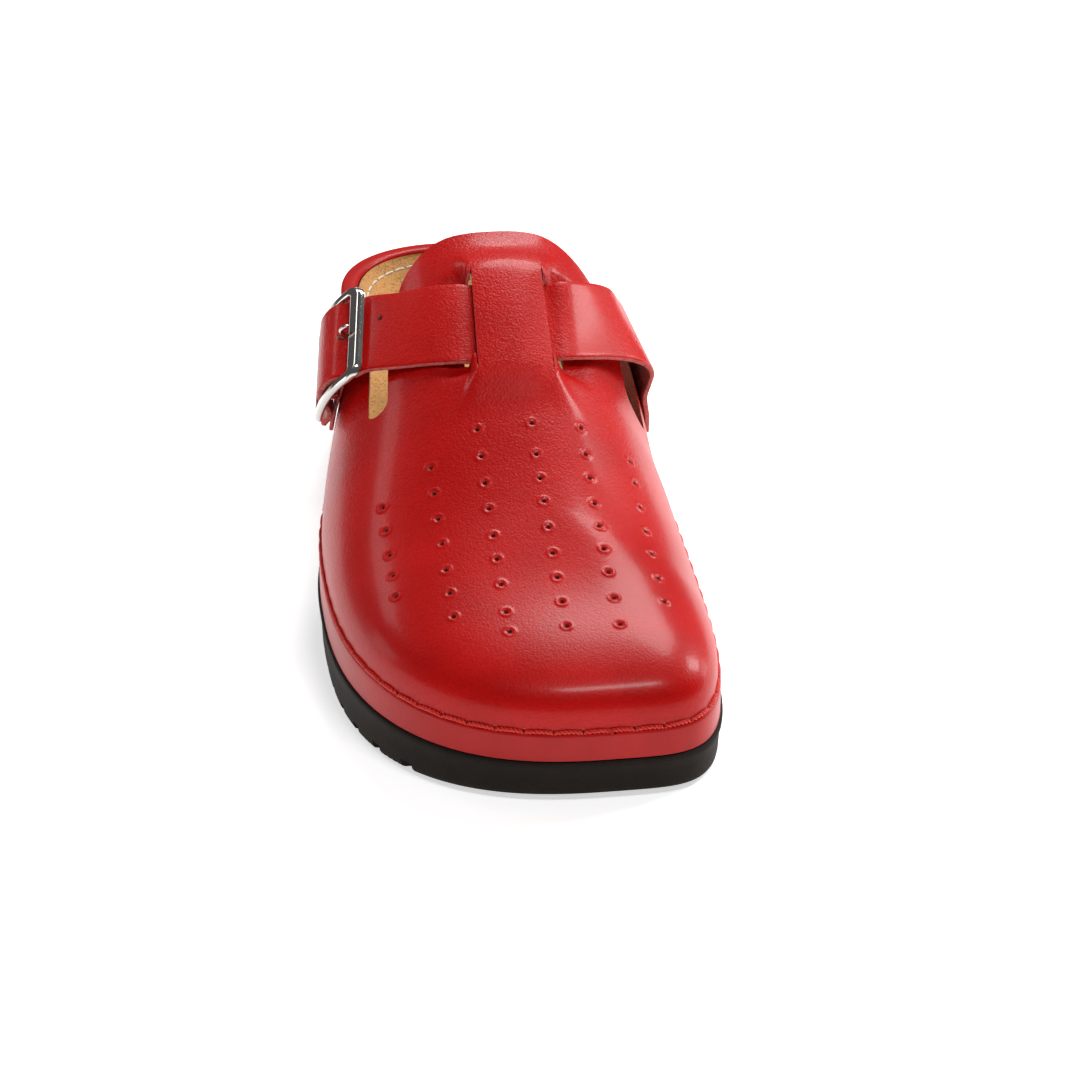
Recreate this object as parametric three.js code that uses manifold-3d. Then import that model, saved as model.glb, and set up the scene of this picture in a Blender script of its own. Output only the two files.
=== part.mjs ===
// A backless women's leather clog for the right foot, European size 39: a closed vamp that ends in a
// round tongue, side quarters, an instep strap that dives under the tongue through two slits and
// closes in a centre-bar buckle on the outer side, a suede insole on a cork midsole whose edge is
// wrapped in a leather rand, and a rubber outsole with a low heel.
//
// Millimetres, +Z up. The toe points to -Y and the big-toe (medial) side is +X. A place along the
// shoe is told by s, its distance back from the toe tip, and x, its distance from the heel's middle
// line. The finished group's origin is under the middle of the sole, on the floor.
import * as THREE from "three";
import Module from "manifold-3d";

const wasm = await Module();
wasm.setup();

// Driving sizes of the sole's plan.
const LENGTH = 258;
const TOE_X = 12;
const LATERAL_TOE = { reach: 64.4, run: 83, power: 2.5 };
const MEDIAL_TOE = { reach: 34.4, run: 96, power: 4.5 };
const HEEL = { halfWidth: 34, run: 36, power: 2.2 };
const WAIST_PINCH = { lateral: 2.6, medial: 5 };
const MIDDLE_X = TOE_X + (MEDIAL_TOE.reach - LATERAL_TOE.reach) / 2;
const STATIONS = 40;
const ROUND_STEPS = 8;
const BED_COLUMNS = 8;

// Heights at places along the shoe: the top edge of the rand, the middle of the footbed, and how far
// the ridge of the upper stands above the rand.
const HEIGHTS = [
  { s: 0, rand: 19.0, bed: 16.5, ridge: 15.0 },
  { s: 25, rand: 20.8, bed: 17.6, ridge: 17.5 },
  { s: 40, rand: 21.9, bed: 18.4, ridge: 20.6 },
  { s: 55, rand: 23.0, bed: 19.6, ridge: 26.0 },
  { s: 70, rand: 24.1, bed: 21.0, ridge: 32.4 },
  { s: 85, rand: 25.2, bed: 22.4, ridge: 39.8 },
  { s: 100, rand: 26.3, bed: 24.0, ridge: 47.2 },
  { s: 125, rand: 28.5, bed: 27.2, ridge: 59.6 },
  { s: 145, rand: 30.6, bed: 30.2, ridge: 64.6 },
  { s: 175, rand: 37.0, bed: 33.8, ridge: 71.5 },
  { s: 205, rand: 45.0, bed: 36.4, ridge: 72.0 },
  { s: 230, rand: 48.9, bed: 37.4, ridge: 72.0 },
  { s: 258, rand: 50.0, bed: 37.8, ridge: 72.0 },
];

// The outsole: its top slopes up to the heel, its underside has a toe spring and a shallow arch.
const SOLE_TOP = { toe: 11.2, heel: 21 };
const TOE_SPRING = { rise: 1.8, run: 62 };
const ARCH = { from: 138, to: 186, rise: 5 };
const HEEL_BEVEL = { rise: 2, run: 12 };
const TREAD = { pitch: 11, groove: 3.2, depth: 2.2 };

// The outsole's section: how far each ring is set in, its share of the way from the floor to the
// sole's top, and how far it is moved up from there.
const SOLE_SECTION = [
  { inset: 2.0, share: 0, up: 0 },
  { inset: 1.1, share: 0, up: 0.9 },
  { inset: 0.7, share: 0.5, up: 0 },
  { inset: 0, share: 1, up: -1.2 },
  { inset: 0.4, share: 1, up: 0 },
];
const HALF_WIDE = 80;
const TREAD_RUNS = [
  { from: 20, to: 130 },
  { from: 199, to: 246 },
];

// Leather and cork.
const GAP = 0.3;
const RAND = { inset: 0.6, thickness: 1.6, flange: 4.8, flangeBevel: 0.8, roundOver: 1.1, softness: 0.3 };
const INSOLE = { thickness: 2.0, sunk: 0.9, cupPower: 3.2 };
const BED_INSET = RAND.inset + RAND.flange + GAP;
const MIDSOLE_STEP = { inset: 1, slope: 0.1 };

// The upper's wall, the plan line it stands on, and the point on the ridge its toe fans out from.
const UPPER = { wall: 2.0, inset: 1.4, pole: 58, poleBlend: 20, back: 188, columns: 14 };
const RIDGE_X = [
  { s: 0, x: 12 },
  { s: 30, x: 8 },
  { s: 58, x: 4.5 },
  { s: 85, x: 2.5 },
  { s: 110, x: 1.2 },
  { s: 145, x: 0.6 },
  { s: 205, x: 0 },
];

// How boxy the arch from the feather edge to the ridge is: 2 is an ellipse, more is squarer. The
// crown over the ridge is never sharper than the softest one.
const SOFTEST_CROWN = 2.05;
const ARCH_POWER = [
  { s: 1.4, lateral: 3.6, medial: 3.6 },
  { s: 25, lateral: 3.2, medial: 2.7 },
  { s: 50, lateral: 2.35, medial: 1.9 },
  { s: 75, lateral: 2.1, medial: 1.7 },
  { s: 100, lateral: 2.0, medial: 1.65 },
  { s: 115, lateral: 2.05, medial: 1.75 },
  { s: 130, lateral: 2.2, medial: 2.45 },
  { s: 145, lateral: 2.4, medial: 2.75 },
  { s: 205, lateral: 2.7, medial: 2.7 },
];

// The tongue's rear edge, and the slots on both sides of it that free it from the quarters.
const TONGUE = { rear: 145, across: 17, back: 15, edges: [-25.8, 30], reach: [-30.2, 31.8], behind: 152 };
const SLOTS = [
  { end: [-34, 105], rear: [-28.4, 150], halfWidth: 2.6 },
  { end: [36.8, 117], rear: [31.4, 145], halfWidth: 2.6 },
];

// The slits that the strap dives through, told by the edges of the band of leather between them,
// which the strap lifts. Beside them the strap presses the leather down. A slit's width narrows to
// a point at both ends.
const SLITS = { from: 99.5, to: 128.8, width: 3.4, lip: 0.9 };
const SLIT_TAPER = [
  { along: 0, share: 0.06 },
  { along: 0.11, share: 0.12 },
  { along: 0.15, share: 1 },
  { along: 0.95, share: 1 },
  { along: 0.975, share: 0.12 },
  { along: 1, share: 0.06 },
];
const BAND_EDGES = { from: [-7.8, 12.1], to: [-6.0, 12.8] };
const BAND = { lift: 2.5, rise: 15, ahead: 13, spread: 0.9, columns: 3 };
const DIP = { depth: 1.95, reach: 10, rise: 4.5, past: 3 };

// The top line of the quarters, seen from the side, and where they are cut to it: between two
// distances from the middle, from a row of the line on, with the line moved ahead.
const TOP_LINE = [
  { s: 138, z: 92 },
  { s: 146, z: 76 },
  { s: 152, z: 66 },
  { s: 162, z: 54 },
  { s: 175, z: 45 },
  { s: 190, z: 42.6 },
];
const QUARTER_CUTS = [
  { from: -70, to: -30, first: 0, ahead: 0 },
  { from: -70, to: 0, first: 2, ahead: 0 },
  { from: 30.5, to: 70.5, first: 0, ahead: 6 },
  { from: 0, to: 70.5, first: 2, ahead: 6 },
];
const ABOVE_ALL = 140;

// The strap's middle line: where it lies over the upper and how far its middle layer stands off the
// upper's unlifted surface. Its width runs back and up the slope of the instep.
const STRAP = { width: 25, thickness: 1.7, acrossSteps: 4, back: 0.87, rise: 0.49 };
const STRAP_ON_UPPER = [
  { x: -25, s: 120, lift: 1.8, lean: 0.1 },
  { x: -18, s: 116.8, lift: 1.2, lean: 0.09 },
  { x: -11.0, s: 115, lift: 0.3, lean: 0.09 },
  { x: -5.4, s: 114.6, lift: -1.45, lean: 0.09 },
  { x: 3, s: 114.8, lift: -1.5, lean: 0.08 },
  { x: 12.0, s: 115.4, lift: -1.45, lean: 0.08 },
  { x: 17.2, s: 116.5, lift: 1.3, lean: 0.06 },
];

// The lateral end in the buckle: how far down from the inner (-1) to the outer bar (1), and how far
// out from the buckle's plane. It passes under the inner bar, over the axle and under the outer bar.
const STRAP_IN_BUCKLE = [
  { down: 1.3, out: -3.2 },
  { down: 1.0, out: -3.2 },
  { down: 0.76, out: -1.9 },
  { down: 0.42, out: 2.5 },
  { down: 0, out: 3.8 },
  { down: -0.42, out: 2.5 },
  { down: -0.76, out: -1.9 },
  { down: -1.0, out: -3.2 },
];

// The medial end stands off the quarter in a bend, told by the strap's front and rear edges, and
// then comes down onto the quarter.
const STRAP_BEND = [
  { front: [34.5, 116, 67.8], rear: [31.4, 135, 81.2] },
  { front: [40.4, 119, 64.4], rear: [34.8, 140, 76] },
  { front: [42.2, 120.6, 61.2], rear: [36.8, 142, 72.4] },
  { front: [41.9, 122.4, 57.6], rear: [37.8, 144, 68.4] },
];
const STRAP_ON_QUARTER = [
  { s: 134.6, z: 58.6, lift: 1.7 },
  { s: 136.5, z: 52, lift: 1.35 },
  { s: 138, z: 47, lift: 1.3 },
];

// The buckle: the middles of its inner and outer bars, which lie along the strap's width, and how
// far its plane stands off them. The axle hangs below the plane and is bowed with it.
const BUCKLE = {
  inner: [-35.4, 125.5, 77.2],
  outer: [-45.0, 134.4, 57.4],
  along: [0.13, 0.86, 0.49],
  standOff: 2.2,
  length: 31,
  bar: 3.6,
  cheek: 2.52,
  thickness: 2.2,
  corner: 4,
  innerCorner: 2.5,
  bow: 2.2,
  axle: 1.0,
  axleDrop: 2.4,
};

// The leather loop that holds the axle, and its tail on the quarter.
const TAB = {
  width: 16,
  thickness: 1.2,
  slot: { width: 3.2, down: [-8, 1.2], out: [-1.6, 6] },
  wrap: { start: 0.2 * Math.PI, turn: 1.3 * Math.PI, steps: 6 },
};
const TAB_TAIL = [
  { s: 134, z: 58, lift: 0.95 },
  { s: 136.5, z: 53.5, lift: 0.95 },
  { s: 138.5, z: 49, lift: 0.95 },
];

// The prong: its place along the axle, and its way down from the axle and out of the buckle's plane.
const PRONG = { along: 0.6, radius: 0.8, hole: { width: 2.2, down: [-9.8, -5.6], out: [-5, 5] } };
const PRONG_WAY = [
  { down: -2.3, out: -0.2 },
  { down: -4.8, out: -1.1 },
  { down: -6.8, out: -0.5 },
  { down: -7.8, out: 1.6 },
  { down: -9.4, out: 3.4 },
  { down: -12.2, out: 2.8 },
];

function curveThrough(rows, key, place = "s") {
  const slopes = rows.map((row, i) => {
    const before = rows[Math.max(0, i - 1)];
    const after = rows[Math.min(rows.length - 1, i + 1)];
    return (after[key] - before[key]) / (after[place] - before[place]);
  });
  return (at) => {
    let i = rows.findIndex((row) => row[place] > at) - 1;
    if (i < 0) i = at < rows[0][place] ? 0 : rows.length - 2;
    const span = rows[i + 1][place] - rows[i][place];
    const t = clamped((at - rows[i][place]) / span);
    const start = rows[i][key] * (1 - t) ** 2 * (1 + 2 * t) + slopes[i] * span * t * (1 - t) ** 2;
    const end = rows[i + 1][key] * t ** 2 * (3 - 2 * t) - slopes[i + 1] * span * t ** 2 * (1 - t);
    return start + end;
  };
}

const randTop = curveThrough(HEIGHTS, "rand");
const bedMiddle = curveThrough(HEIGHTS, "bed");
const ridgeRise = curveThrough(HEIGHTS, "ridge");
const ridgeX = curveThrough(RIDGE_X, "x");
const archPower = {
  [-1]: curveThrough(ARCH_POWER, "lateral"),
  1: curveThrough(ARCH_POWER, "medial"),
};
const soleTop = (s) => SOLE_TOP.toe + (SOLE_TOP.heel - SOLE_TOP.toe) * (s / LENGTH);

const clamped = (t) => Math.min(1, Math.max(0, t));
const smooth = (t) => {
  const k = clamped(t);
  return k * k * k * (k * (6 * k - 15) + 10);
};
const mix = (a, b, t) => a + (b - a) * t;
const rounded = (along, power) => (1 - clamped(along) ** power) ** (1 / power);

// The upper's rise from its foot to the ridge: steep at the foot, and without a crease on top.
function archRise(u, power) {
  const crown = Math.max(power, SOFTEST_CROWN);
  return (1 - (1 - clamped(u)) ** crown) ** (crown / power ** 2);
}

function floorAt(s) {
  if (s < TOE_SPRING.run) return TOE_SPRING.rise * (1 - s / TOE_SPRING.run) ** 2;
  if (s > LENGTH - HEEL_BEVEL.run) {
    return HEEL_BEVEL.rise * ((s - LENGTH + HEEL_BEVEL.run) / HEEL_BEVEL.run) ** 2;
  }
  const t = (s - ARCH.from) / (ARCH.to - ARCH.from);
  return t > 0 && t < 1 ? ARCH.rise * Math.min(smooth(3 * t), smooth(3 * (1 - t))) : 0;
}

// The plan outline's x at s, on the lateral (-1) or medial (+1) side, moved in by inset.
function sideX(side, s, inset) {
  const toe = side < 0 ? LATERAL_TOE : MEDIAL_TOE;
  const pinch = side < 0 ? WAIST_PINCH.lateral : WAIST_PINCH.medial;
  const heelStart = LENGTH - HEEL.run;
  if (s < toe.run) {
    return TOE_X + side * (toe.reach - inset) * rounded((toe.run - s) / (toe.run - inset), toe.power);
  }
  if (s > heelStart) {
    return side * (HEEL.halfWidth - inset) * rounded((s - heelStart) / (HEEL.run - inset), HEEL.power);
  }
  const t = (s - toe.run) / (heelStart - toe.run);
  const widest = TOE_X + side * toe.reach;
  const narrowing = (side * HEEL.halfWidth - widest) * smooth(t);
  return widest + narrowing - side * (inset + pinch * Math.sin(Math.PI * t) ** 2);
}

// Fractions of the length whose outline points lie about evenly round the edge.
function stationFractions(count) {
  const steps = 4000;
  const lengths = [0];
  for (let i = 1; i <= steps; i++) {
    // Steps crowd at both ends, where the outline runs across the shoe.
    const [before, after] = [i - 1, i].map((k) => (LENGTH * (1 - Math.cos((Math.PI * k) / steps))) / 2);
    const step = [-1, 1].reduce(
      (sum, side) => sum + Math.hypot(after - before, sideX(side, after, 0) - sideX(side, before, 0)),
      0,
    );
    lengths.push(lengths[i - 1] + step);
  }
  const fractions = [];
  for (let i = 0; i <= count; i++) {
    const wanted = (lengths[steps] * i) / count;
    const k = Math.max(1, lengths.findIndex((l) => l >= wanted - 1e-9));
    fractions.push((1 - Math.cos((Math.PI * k) / steps)) / 2);
  }
  fractions[0] = 0;
  fractions[count] = 1;
  return fractions;
}

const FRACTIONS = stationFractions(STATIONS);

// A closed ring of points: the toe tip, the lateral side to the heel, and the medial side back.
function ring(inset, height) {
  const at = (i, side) => {
    const s = inset + (LENGTH - 2 * inset) * FRACTIONS[i];
    return [sideX(side, s, inset), s, height(s)];
  };
  const points = [];
  for (let i = 0; i <= STATIONS; i++) points.push(at(i, -1));
  for (let i = STATIONS - 1; i > 0; i--) points.push(at(i, 1));
  return points;
}

function solidOf(points, triangles) {
  const build = (list) => {
    const mesh = new wasm.Mesh({
      numProp: 3,
      vertProperties: new Float32Array(points.flat()),
      triVerts: new Uint32Array(list.flat()),
    });
    return new wasm.Manifold(mesh);
  };
  const made = build(triangles);
  return made.volume() < 0 ? build(triangles.map(([a, b, c]) => [a, c, b])) : made;
}

// Skins consecutive rings of one size; first and last are joined too where the section is a loop.
function skin(triangles, ringSize, ringCount, isLoop) {
  for (let r = 0; r < (isLoop ? ringCount : ringCount - 1); r++) {
    for (let i = 0; i < ringSize; i++) {
      const [a, b] = [r * ringSize + i, r * ringSize + ((i + 1) % ringSize)];
      const next = ((r + 1) % ringCount) * ringSize;
      const [c, d] = [next + ((i + 1) % ringSize), next + i];
      triangles.push([a, b, c], [a, c, d]);
    }
  }
}

// Closes a ring with strips from its lateral to its medial side, at the given height over the plan.
function capRing(points, triangles, start, columns, height, flip) {
  const rows = [];
  for (let i = 1; i < STATIONS; i++) {
    const [left, right] = [start + i, start + 2 * STATIONS - i];
    const row = [left];
    for (let j = 1; j < columns; j++) {
      const t = j / columns;
      const [x, s, z] = [0, 1, 2].map((k) => points[left][k] * (1 - t) + points[right][k] * t);
      row.push(points.push([x, s, height ? height(x, s) : z]) - 1);
    }
    row.push(right);
    rows.push(row);
  }
  const add = (a, b, c) => triangles.push(flip ? [a, c, b] : [a, b, c]);
  for (let j = 0; j < columns; j++) {
    add(start, rows[0][j], rows[0][j + 1]);
    add(start + STATIONS, rows.at(-1)[j + 1], rows.at(-1)[j]);
  }
  for (let i = 0; i + 1 < rows.length; i++) {
    for (let j = 0; j < columns; j++) {
      add(rows[i][j], rows[i + 1][j], rows[i + 1][j + 1]);
      add(rows[i][j], rows[i + 1][j + 1], rows[i][j + 1]);
    }
  }
}

// A solid through rings from bottom to top, capped at both ends.
function stackedSolid(rings, { columns = 1, bottom = null, top = null } = {}) {
  const points = rings.flat();
  const triangles = [];
  skin(triangles, 2 * STATIONS, rings.length, false);
  capRing(points, triangles, 0, columns, bottom, true);
  capRing(points, triangles, (rings.length - 1) * 2 * STATIONS, columns, top, false);
  return solidOf(points, triangles);
}

function box(x0, x1, s0, s1, z0, z1) {
  const shape = new THREE.BoxGeometry(x1 - x0, s1 - s0, z1 - z0);
  shape.translate((x0 + x1) / 2, (s0 + s1) / 2, (z0 + z1) / 2);
  return solidOfGeometry(shape);
}

// A three.js geometry as a solid: vertices at one place become one.
function solidOfGeometry(geometry) {
  const flat = geometry.index ? geometry.toNonIndexed() : geometry;
  const position = flat.getAttribute("position");
  const places = new Map();
  const points = [];
  const corners = [];
  for (let i = 0; i < position.count; i++) {
    const p = [position.getX(i), position.getY(i), position.getZ(i)];
    const key = p.map((c) => Math.round(c * 1e4)).join();
    if (!places.has(key)) places.set(key, points.push(p) - 1);
    corners.push(places.get(key));
  }
  const triangles = [];
  for (let i = 0; i < corners.length; i += 3) {
    const [a, b, c] = corners.slice(i, i + 3);
    if (a !== b && b !== c && a !== c) triangles.push([a, b, c]);
  }
  return solidOf(points, triangles);
}

// The rubber outsole, with grooves across the tread.
function outsole() {
  const height = ({ share, up }) => (s) => mix(floorAt(s), soleTop(s), share) + up;
  let cut = stackedSolid(SOLE_SECTION.map((row) => ring(row.inset, height(row))));
  for (const { from, to } of TREAD_RUNS) {
    for (let s = from; s < to; s += TREAD.pitch) {
      const roof = Math.max(floorAt(s), floorAt(s + TREAD.groove)) + TREAD.depth;
      cut = cut.subtract(box(-HALF_WIDE, HALF_WIDE, s, s + TREAD.groove, -TREAD.depth, roof));
    }
  }
  return cut;
}

// The leather strip round the midsole's edge, turned in over its top.
function rand() {
  const { inset, thickness, flange, flangeBevel, roundOver, softness } = RAND;
  const inner = inset + thickness;
  const rings = [
    ring(inset, (s) => soleTop(s) + GAP),
    ring(inset, (s) => randTop(s) - roundOver),
    ring(inset + softness * roundOver, (s) => randTop(s) - softness * roundOver),
    ring(inset + roundOver, randTop),
    ring(inset + flange - flangeBevel, randTop),
    ring(inset + flange, (s) => randTop(s) - flangeBevel),
    ring(inset + flange, (s) => randTop(s) - thickness),
    ring(inner, (s) => randTop(s) - thickness),
    ring(inner, (s) => soleTop(s) + GAP),
  ];
  const triangles = [];
  skin(triangles, 2 * STATIONS, rings.length, true);
  return solidOf(rings.flat(), triangles);
}

// The footbed's surface: flat under the toes, cupped up to the rand's edge towards the heel.
function bedHeight(x, s) {
  const inset = BED_INSET;
  const half = (sideX(1, s, inset) - sideX(-1, s, inset)) / 2;
  const middle = (sideX(1, s, inset) + sideX(-1, s, inset)) / 2;
  const across = half > 0.5 ? Math.min(1, Math.abs(x - middle) / half) : 1;
  const back = Math.max(0, (s - LENGTH + HEEL.run) / (HEEL.run - inset));
  const front = Math.max(0, 1 - (s - inset) / HEEL.run);
  const end = Math.min(1, Math.max(back, front));
  const outward = Math.min(1, Math.hypot(across * rounded(end, 2), end));
  const edge = randTop(s) - INSOLE.sunk;
  return bedMiddle(s) + (edge - bedMiddle(s)) * outward ** INSOLE.cupPower;
}

function insole() {
  const edge = (s) => randTop(s) - INSOLE.sunk;
  return stackedSolid(
    [ring(BED_INSET, (s) => edge(s) - INSOLE.thickness), ring(BED_INSET, edge)],
    { columns: BED_COLUMNS, bottom: (x, s) => bedHeight(x, s) - INSOLE.thickness, top: bedHeight },
  );
}

function midsole() {
  const inner = RAND.inset + RAND.thickness + GAP;
  const ledge = (s) => randTop(s) - RAND.thickness - GAP;
  const under = (s) => randTop(s) - INSOLE.sunk - INSOLE.thickness - GAP;
  return stackedSolid(
    [
      ring(inner, (s) => soleTop(s) + GAP),
      ring(inner, ledge),
      ring(BED_INSET - MIDSOLE_STEP.inset, ledge),
      ring(BED_INSET - MIDSOLE_STEP.inset + MIDSOLE_STEP.slope, under),
      ring(BED_INSET, under),
    ],
    { columns: BED_COLUMNS, top: (x, s) => bedHeight(x, s) - INSOLE.thickness - GAP },
  );
}

const add = (a, b, k = 1) => a.map((value, i) => value + k * b[i]);
const dot = (a, b) => a.reduce((sum, value, i) => sum + value * b[i], 0);
const cross = (a, b) => [
  a[1] * b[2] - a[2] * b[1],
  a[2] * b[0] - a[0] * b[2],
  a[0] * b[1] - a[1] * b[0],
];
const unit = (a) => a.map((value) => value / Math.hypot(...a));

// How far the strap lifts or presses the upper at a place in plan.
function liftAt(x, s) {
  const { from, to, width, lip } = SLITS;
  const t = (s - from) / (to - from);
  const [left, right] = [0, 1].map((i) => mix(BAND_EDGES.from[i], BAND_EDGES.to[i], t));
  const outside = Math.max(left - x, x - right);
  const beyond = Math.max(0, from - s, s - to);
  const band = smooth((s - from + BAND.ahead) / BAND.rise) * smooth((to + BAND.ahead - s) / BAND.rise);
  const dip = smooth((s - from) / DIP.rise) * smooth((to + DIP.past - s) / DIP.rise);
  const fall = smooth((outside - lip) / (width - 2 * lip + BAND.spread * beyond));
  const far = smooth((outside - width) / DIP.reach);
  return BAND.lift * band * (1 - fall) - DIP.depth * dip * fall * (1 - far);
}

// Where the line that starts at s on the feather edge meets the ridge, never ahead of the pole.
const ridgePlace = (s) => (s + UPPER.pole + Math.hypot(s - UPPER.pole, UPPER.poleBlend)) / 2;

// A point of the upper's outer surface: side and s tell the place on the feather edge, and u runs
// from 0 there to 1 on the ridge. The lines of the toe run together towards the pole.
function upperPoint(side, s, u, lifted = true) {
  const edge = [sideX(side, s, UPPER.inset), s];
  const ridge = ridgePlace(s);
  const centre = [ridgeX(ridge), ridge];
  const [x, place] = [0, 1].map((i) => mix(edge[i], centre[i], u));
  const rise = ridgeRise(place) * archRise(u, archPower[side](s));
  return [x, place, randTop(place) + GAP + rise + (lifted ? liftAt(x, place) : 0)];
}

function ridgeHeight(x, s) {
  return randTop(s) + GAP + ridgeRise(s) + liftAt(x, s);
}

// The surface under a place in plan, for the part of the upper behind the pole.
function upperOver(x, s) {
  const side = x < ridgeX(s) ? -1 : 1;
  let [place, u] = [s, 0];
  for (let i = 0; i < 12; i++) {
    const ridge = ridgePlace(place);
    const edgeX = sideX(side, place, UPPER.inset);
    u = Math.max(0, (x - edgeX) / (ridgeX(ridge) - edgeX));
    place = s - (ridge - place) * u;
  }
  return upperPoint(side, place, u, false);
}

// Small steps for telling which way a surface faces.
const STEP = { plan: 0.4, u: 0.001, s: 0.3, rim: 0.002, quarter: 0.004, ridge: 0.5 };

function normalOver(x, s) {
  const step = STEP.plan;
  const inward = x < ridgeX(s) ? step : -step;
  const here = upperOver(x, s);
  const alongX = add(upperOver(x + inward, s), here, -1).map((c) => c / inward);
  const alongS = add(upperOver(x, s + step), upperOver(x, s - step), -1);
  return unit(cross(alongX, alongS));
}

// The normals of the sheet that a grid of points spans.
function gridNormals(grid) {
  return grid.map((row, i) =>
    row.map((_, j) => {
      const before = grid[Math.max(0, i - 1)][j];
      const after = grid[Math.min(grid.length - 1, i + 1)][j];
      const left = row[Math.max(0, j - 1)];
      const right = row[Math.min(row.length - 1, j + 1)];
      return unit(cross(add(after, before, -1), add(right, left, -1)));
    }),
  );
}

// A closed sheet of leather between two grids of points that match.
function sheetSolid(upperGrid, lowerGrid) {
  const [rows, columns] = [upperGrid.length, upperGrid[0].length];
  const points = [...upperGrid.flat(), ...lowerGrid.flat()];
  const id = (layer, i, j) => layer * rows * columns + i * columns + j;
  const triangles = [];
  const quad = (a, b, c, d) => triangles.push([a, b, c], [a, c, d]);
  for (let i = 0; i + 1 < rows; i++) {
    for (let j = 0; j + 1 < columns; j++) {
      quad(id(0, i, j), id(0, i, j + 1), id(0, i + 1, j + 1), id(0, i + 1, j));
      quad(id(1, i, j), id(1, i + 1, j), id(1, i + 1, j + 1), id(1, i, j + 1));
    }
    for (const [j, flip] of [[0, false], [columns - 1, true]]) {
      const corners = [id(0, i, j), id(0, i + 1, j), id(1, i + 1, j), id(1, i, j)];
      quad(...(flip ? corners.reverse() : corners));
    }
  }
  for (let j = 0; j + 1 < columns; j++) {
    for (const [i, flip] of [[0, true], [rows - 1, false]]) {
      const corners = [id(0, i, j), id(0, i, j + 1), id(1, i, j + 1), id(1, i, j)];
      quad(...(flip ? corners.reverse() : corners));
    }
  }
  return solidOf(points, triangles);
}

// A prism over an outline in plan, from the floor to above the upper.
function planPrism(outline) {
  const shape = new THREE.Shape(outline.map(([x, s]) => new THREE.Vector2(x, s)));
  return solidOfGeometry(new THREE.ExtrudeGeometry(shape, { depth: ABOVE_ALL, bevelEnabled: false }));
}

function slotOutline({ end, rear, halfWidth }) {
  const outline = [];
  for (let k = 0; k <= ROUND_STEPS; k++) {
    const angle = Math.PI * (1 + k / ROUND_STEPS);
    outline.push([end[0] + halfWidth * Math.cos(angle), end[1] + halfWidth * Math.sin(angle)]);
  }
  outline.push([rear[0] + halfWidth, rear[1]], [rear[0] - halfWidth, rear[1]]);
  return outline;
}

// The space behind the tongue's rounded rear edge, between the quarters.
function behindTongue() {
  const { rear, across, back, edges, reach, behind } = TONGUE;
  const front = rear - back;
  const corner = (side, k) => {
    const angle = ((k / ROUND_STEPS) * Math.PI) / 2;
    const edge = side < 0 ? edges[0] : edges[1];
    return [edge - side * across * (1 - Math.cos(angle)), front + back * Math.sin(angle)];
  };
  const steps = Array.from({ length: ROUND_STEPS + 1 }, (_, k) => k);
  const [low, high] = reach;
  return [
    [low, front],
    ...steps.map((k) => corner(-1, k)),
    ...steps.map((k) => corner(1, ROUND_STEPS - k)),
    [high, front],
    [high, behind],
    [low, behind],
  ];
}

// A slit from the band's edge outwards.
function slitOutline(which) {
  const outward = which === 0 ? -SLITS.width : SLITS.width;
  const rows = SLIT_TAPER.map(({ along, share }) => ({
    x: mix(BAND_EDGES.from[which], BAND_EDGES.to[which], along),
    s: mix(SLITS.from, SLITS.to, along),
    share,
  }));
  const outer = rows.map(({ x, s, share }) => [x + outward * share, s]);
  return [...rows.map(({ x, s }) => [x, s]), ...outer.reverse()];
}

// Everything above the quarters' top line, on both sides of the tongue and behind it.
function aboveTopLine() {
  const turned = new THREE.Matrix4().set(0, 0, 1, 0, 1, 0, 0, 0, 0, 1, 0, 0, 0, 0, 0, 1);
  const blocks = QUARTER_CUTS.map(({ from, to, first, ahead }) => {
    const line = TOP_LINE.slice(first).map(({ s, z }) => new THREE.Vector2(s - ahead, z));
    const corners = [[LENGTH, TOP_LINE.at(-1).z], [LENGTH, ABOVE_ALL], [line[0].x, ABOVE_ALL]];
    line.push(...corners.map(([s, z]) => new THREE.Vector2(s, z)));
    const block = new THREE.ExtrudeGeometry(new THREE.Shape(line), { depth: to - from, bevelEnabled: false });
    return solidOfGeometry(block.applyMatrix4(turned).translate(from, 0, 0));
  });
  return blocks.reduce((all, block) => all.add(block));
}

// Where the columns of the upper's faces lie: the last ones follow the slits' edges to the ridge.
function columnAt(side, s, j) {
  const { columns } = UPPER;
  const ridge = ridgePlace(s);
  const t = clamped((ridge - SLITS.from) / (SLITS.to - SLITS.from));
  const i = side < 0 ? 0 : 1;
  const edge = mix(BAND_EDGES.from[i], BAND_EDGES.to[i], t);
  const band = Math.abs(edge - ridgeX(ridge)) + SLITS.lip;
  const span = Math.hypot(sideX(side, s, UPPER.inset) - ridgeX(ridge), s - ridge);
  const outer = 1 - (band + SLITS.width - 2 * SLITS.lip) / span;
  const last = columns - BAND.columns - 1;
  if (j <= last) return outer * (1 - Math.cos((j / last) * (Math.PI / 2)));
  return 1 - (band / span) * ((columns - j) / BAND.columns);
}

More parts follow.
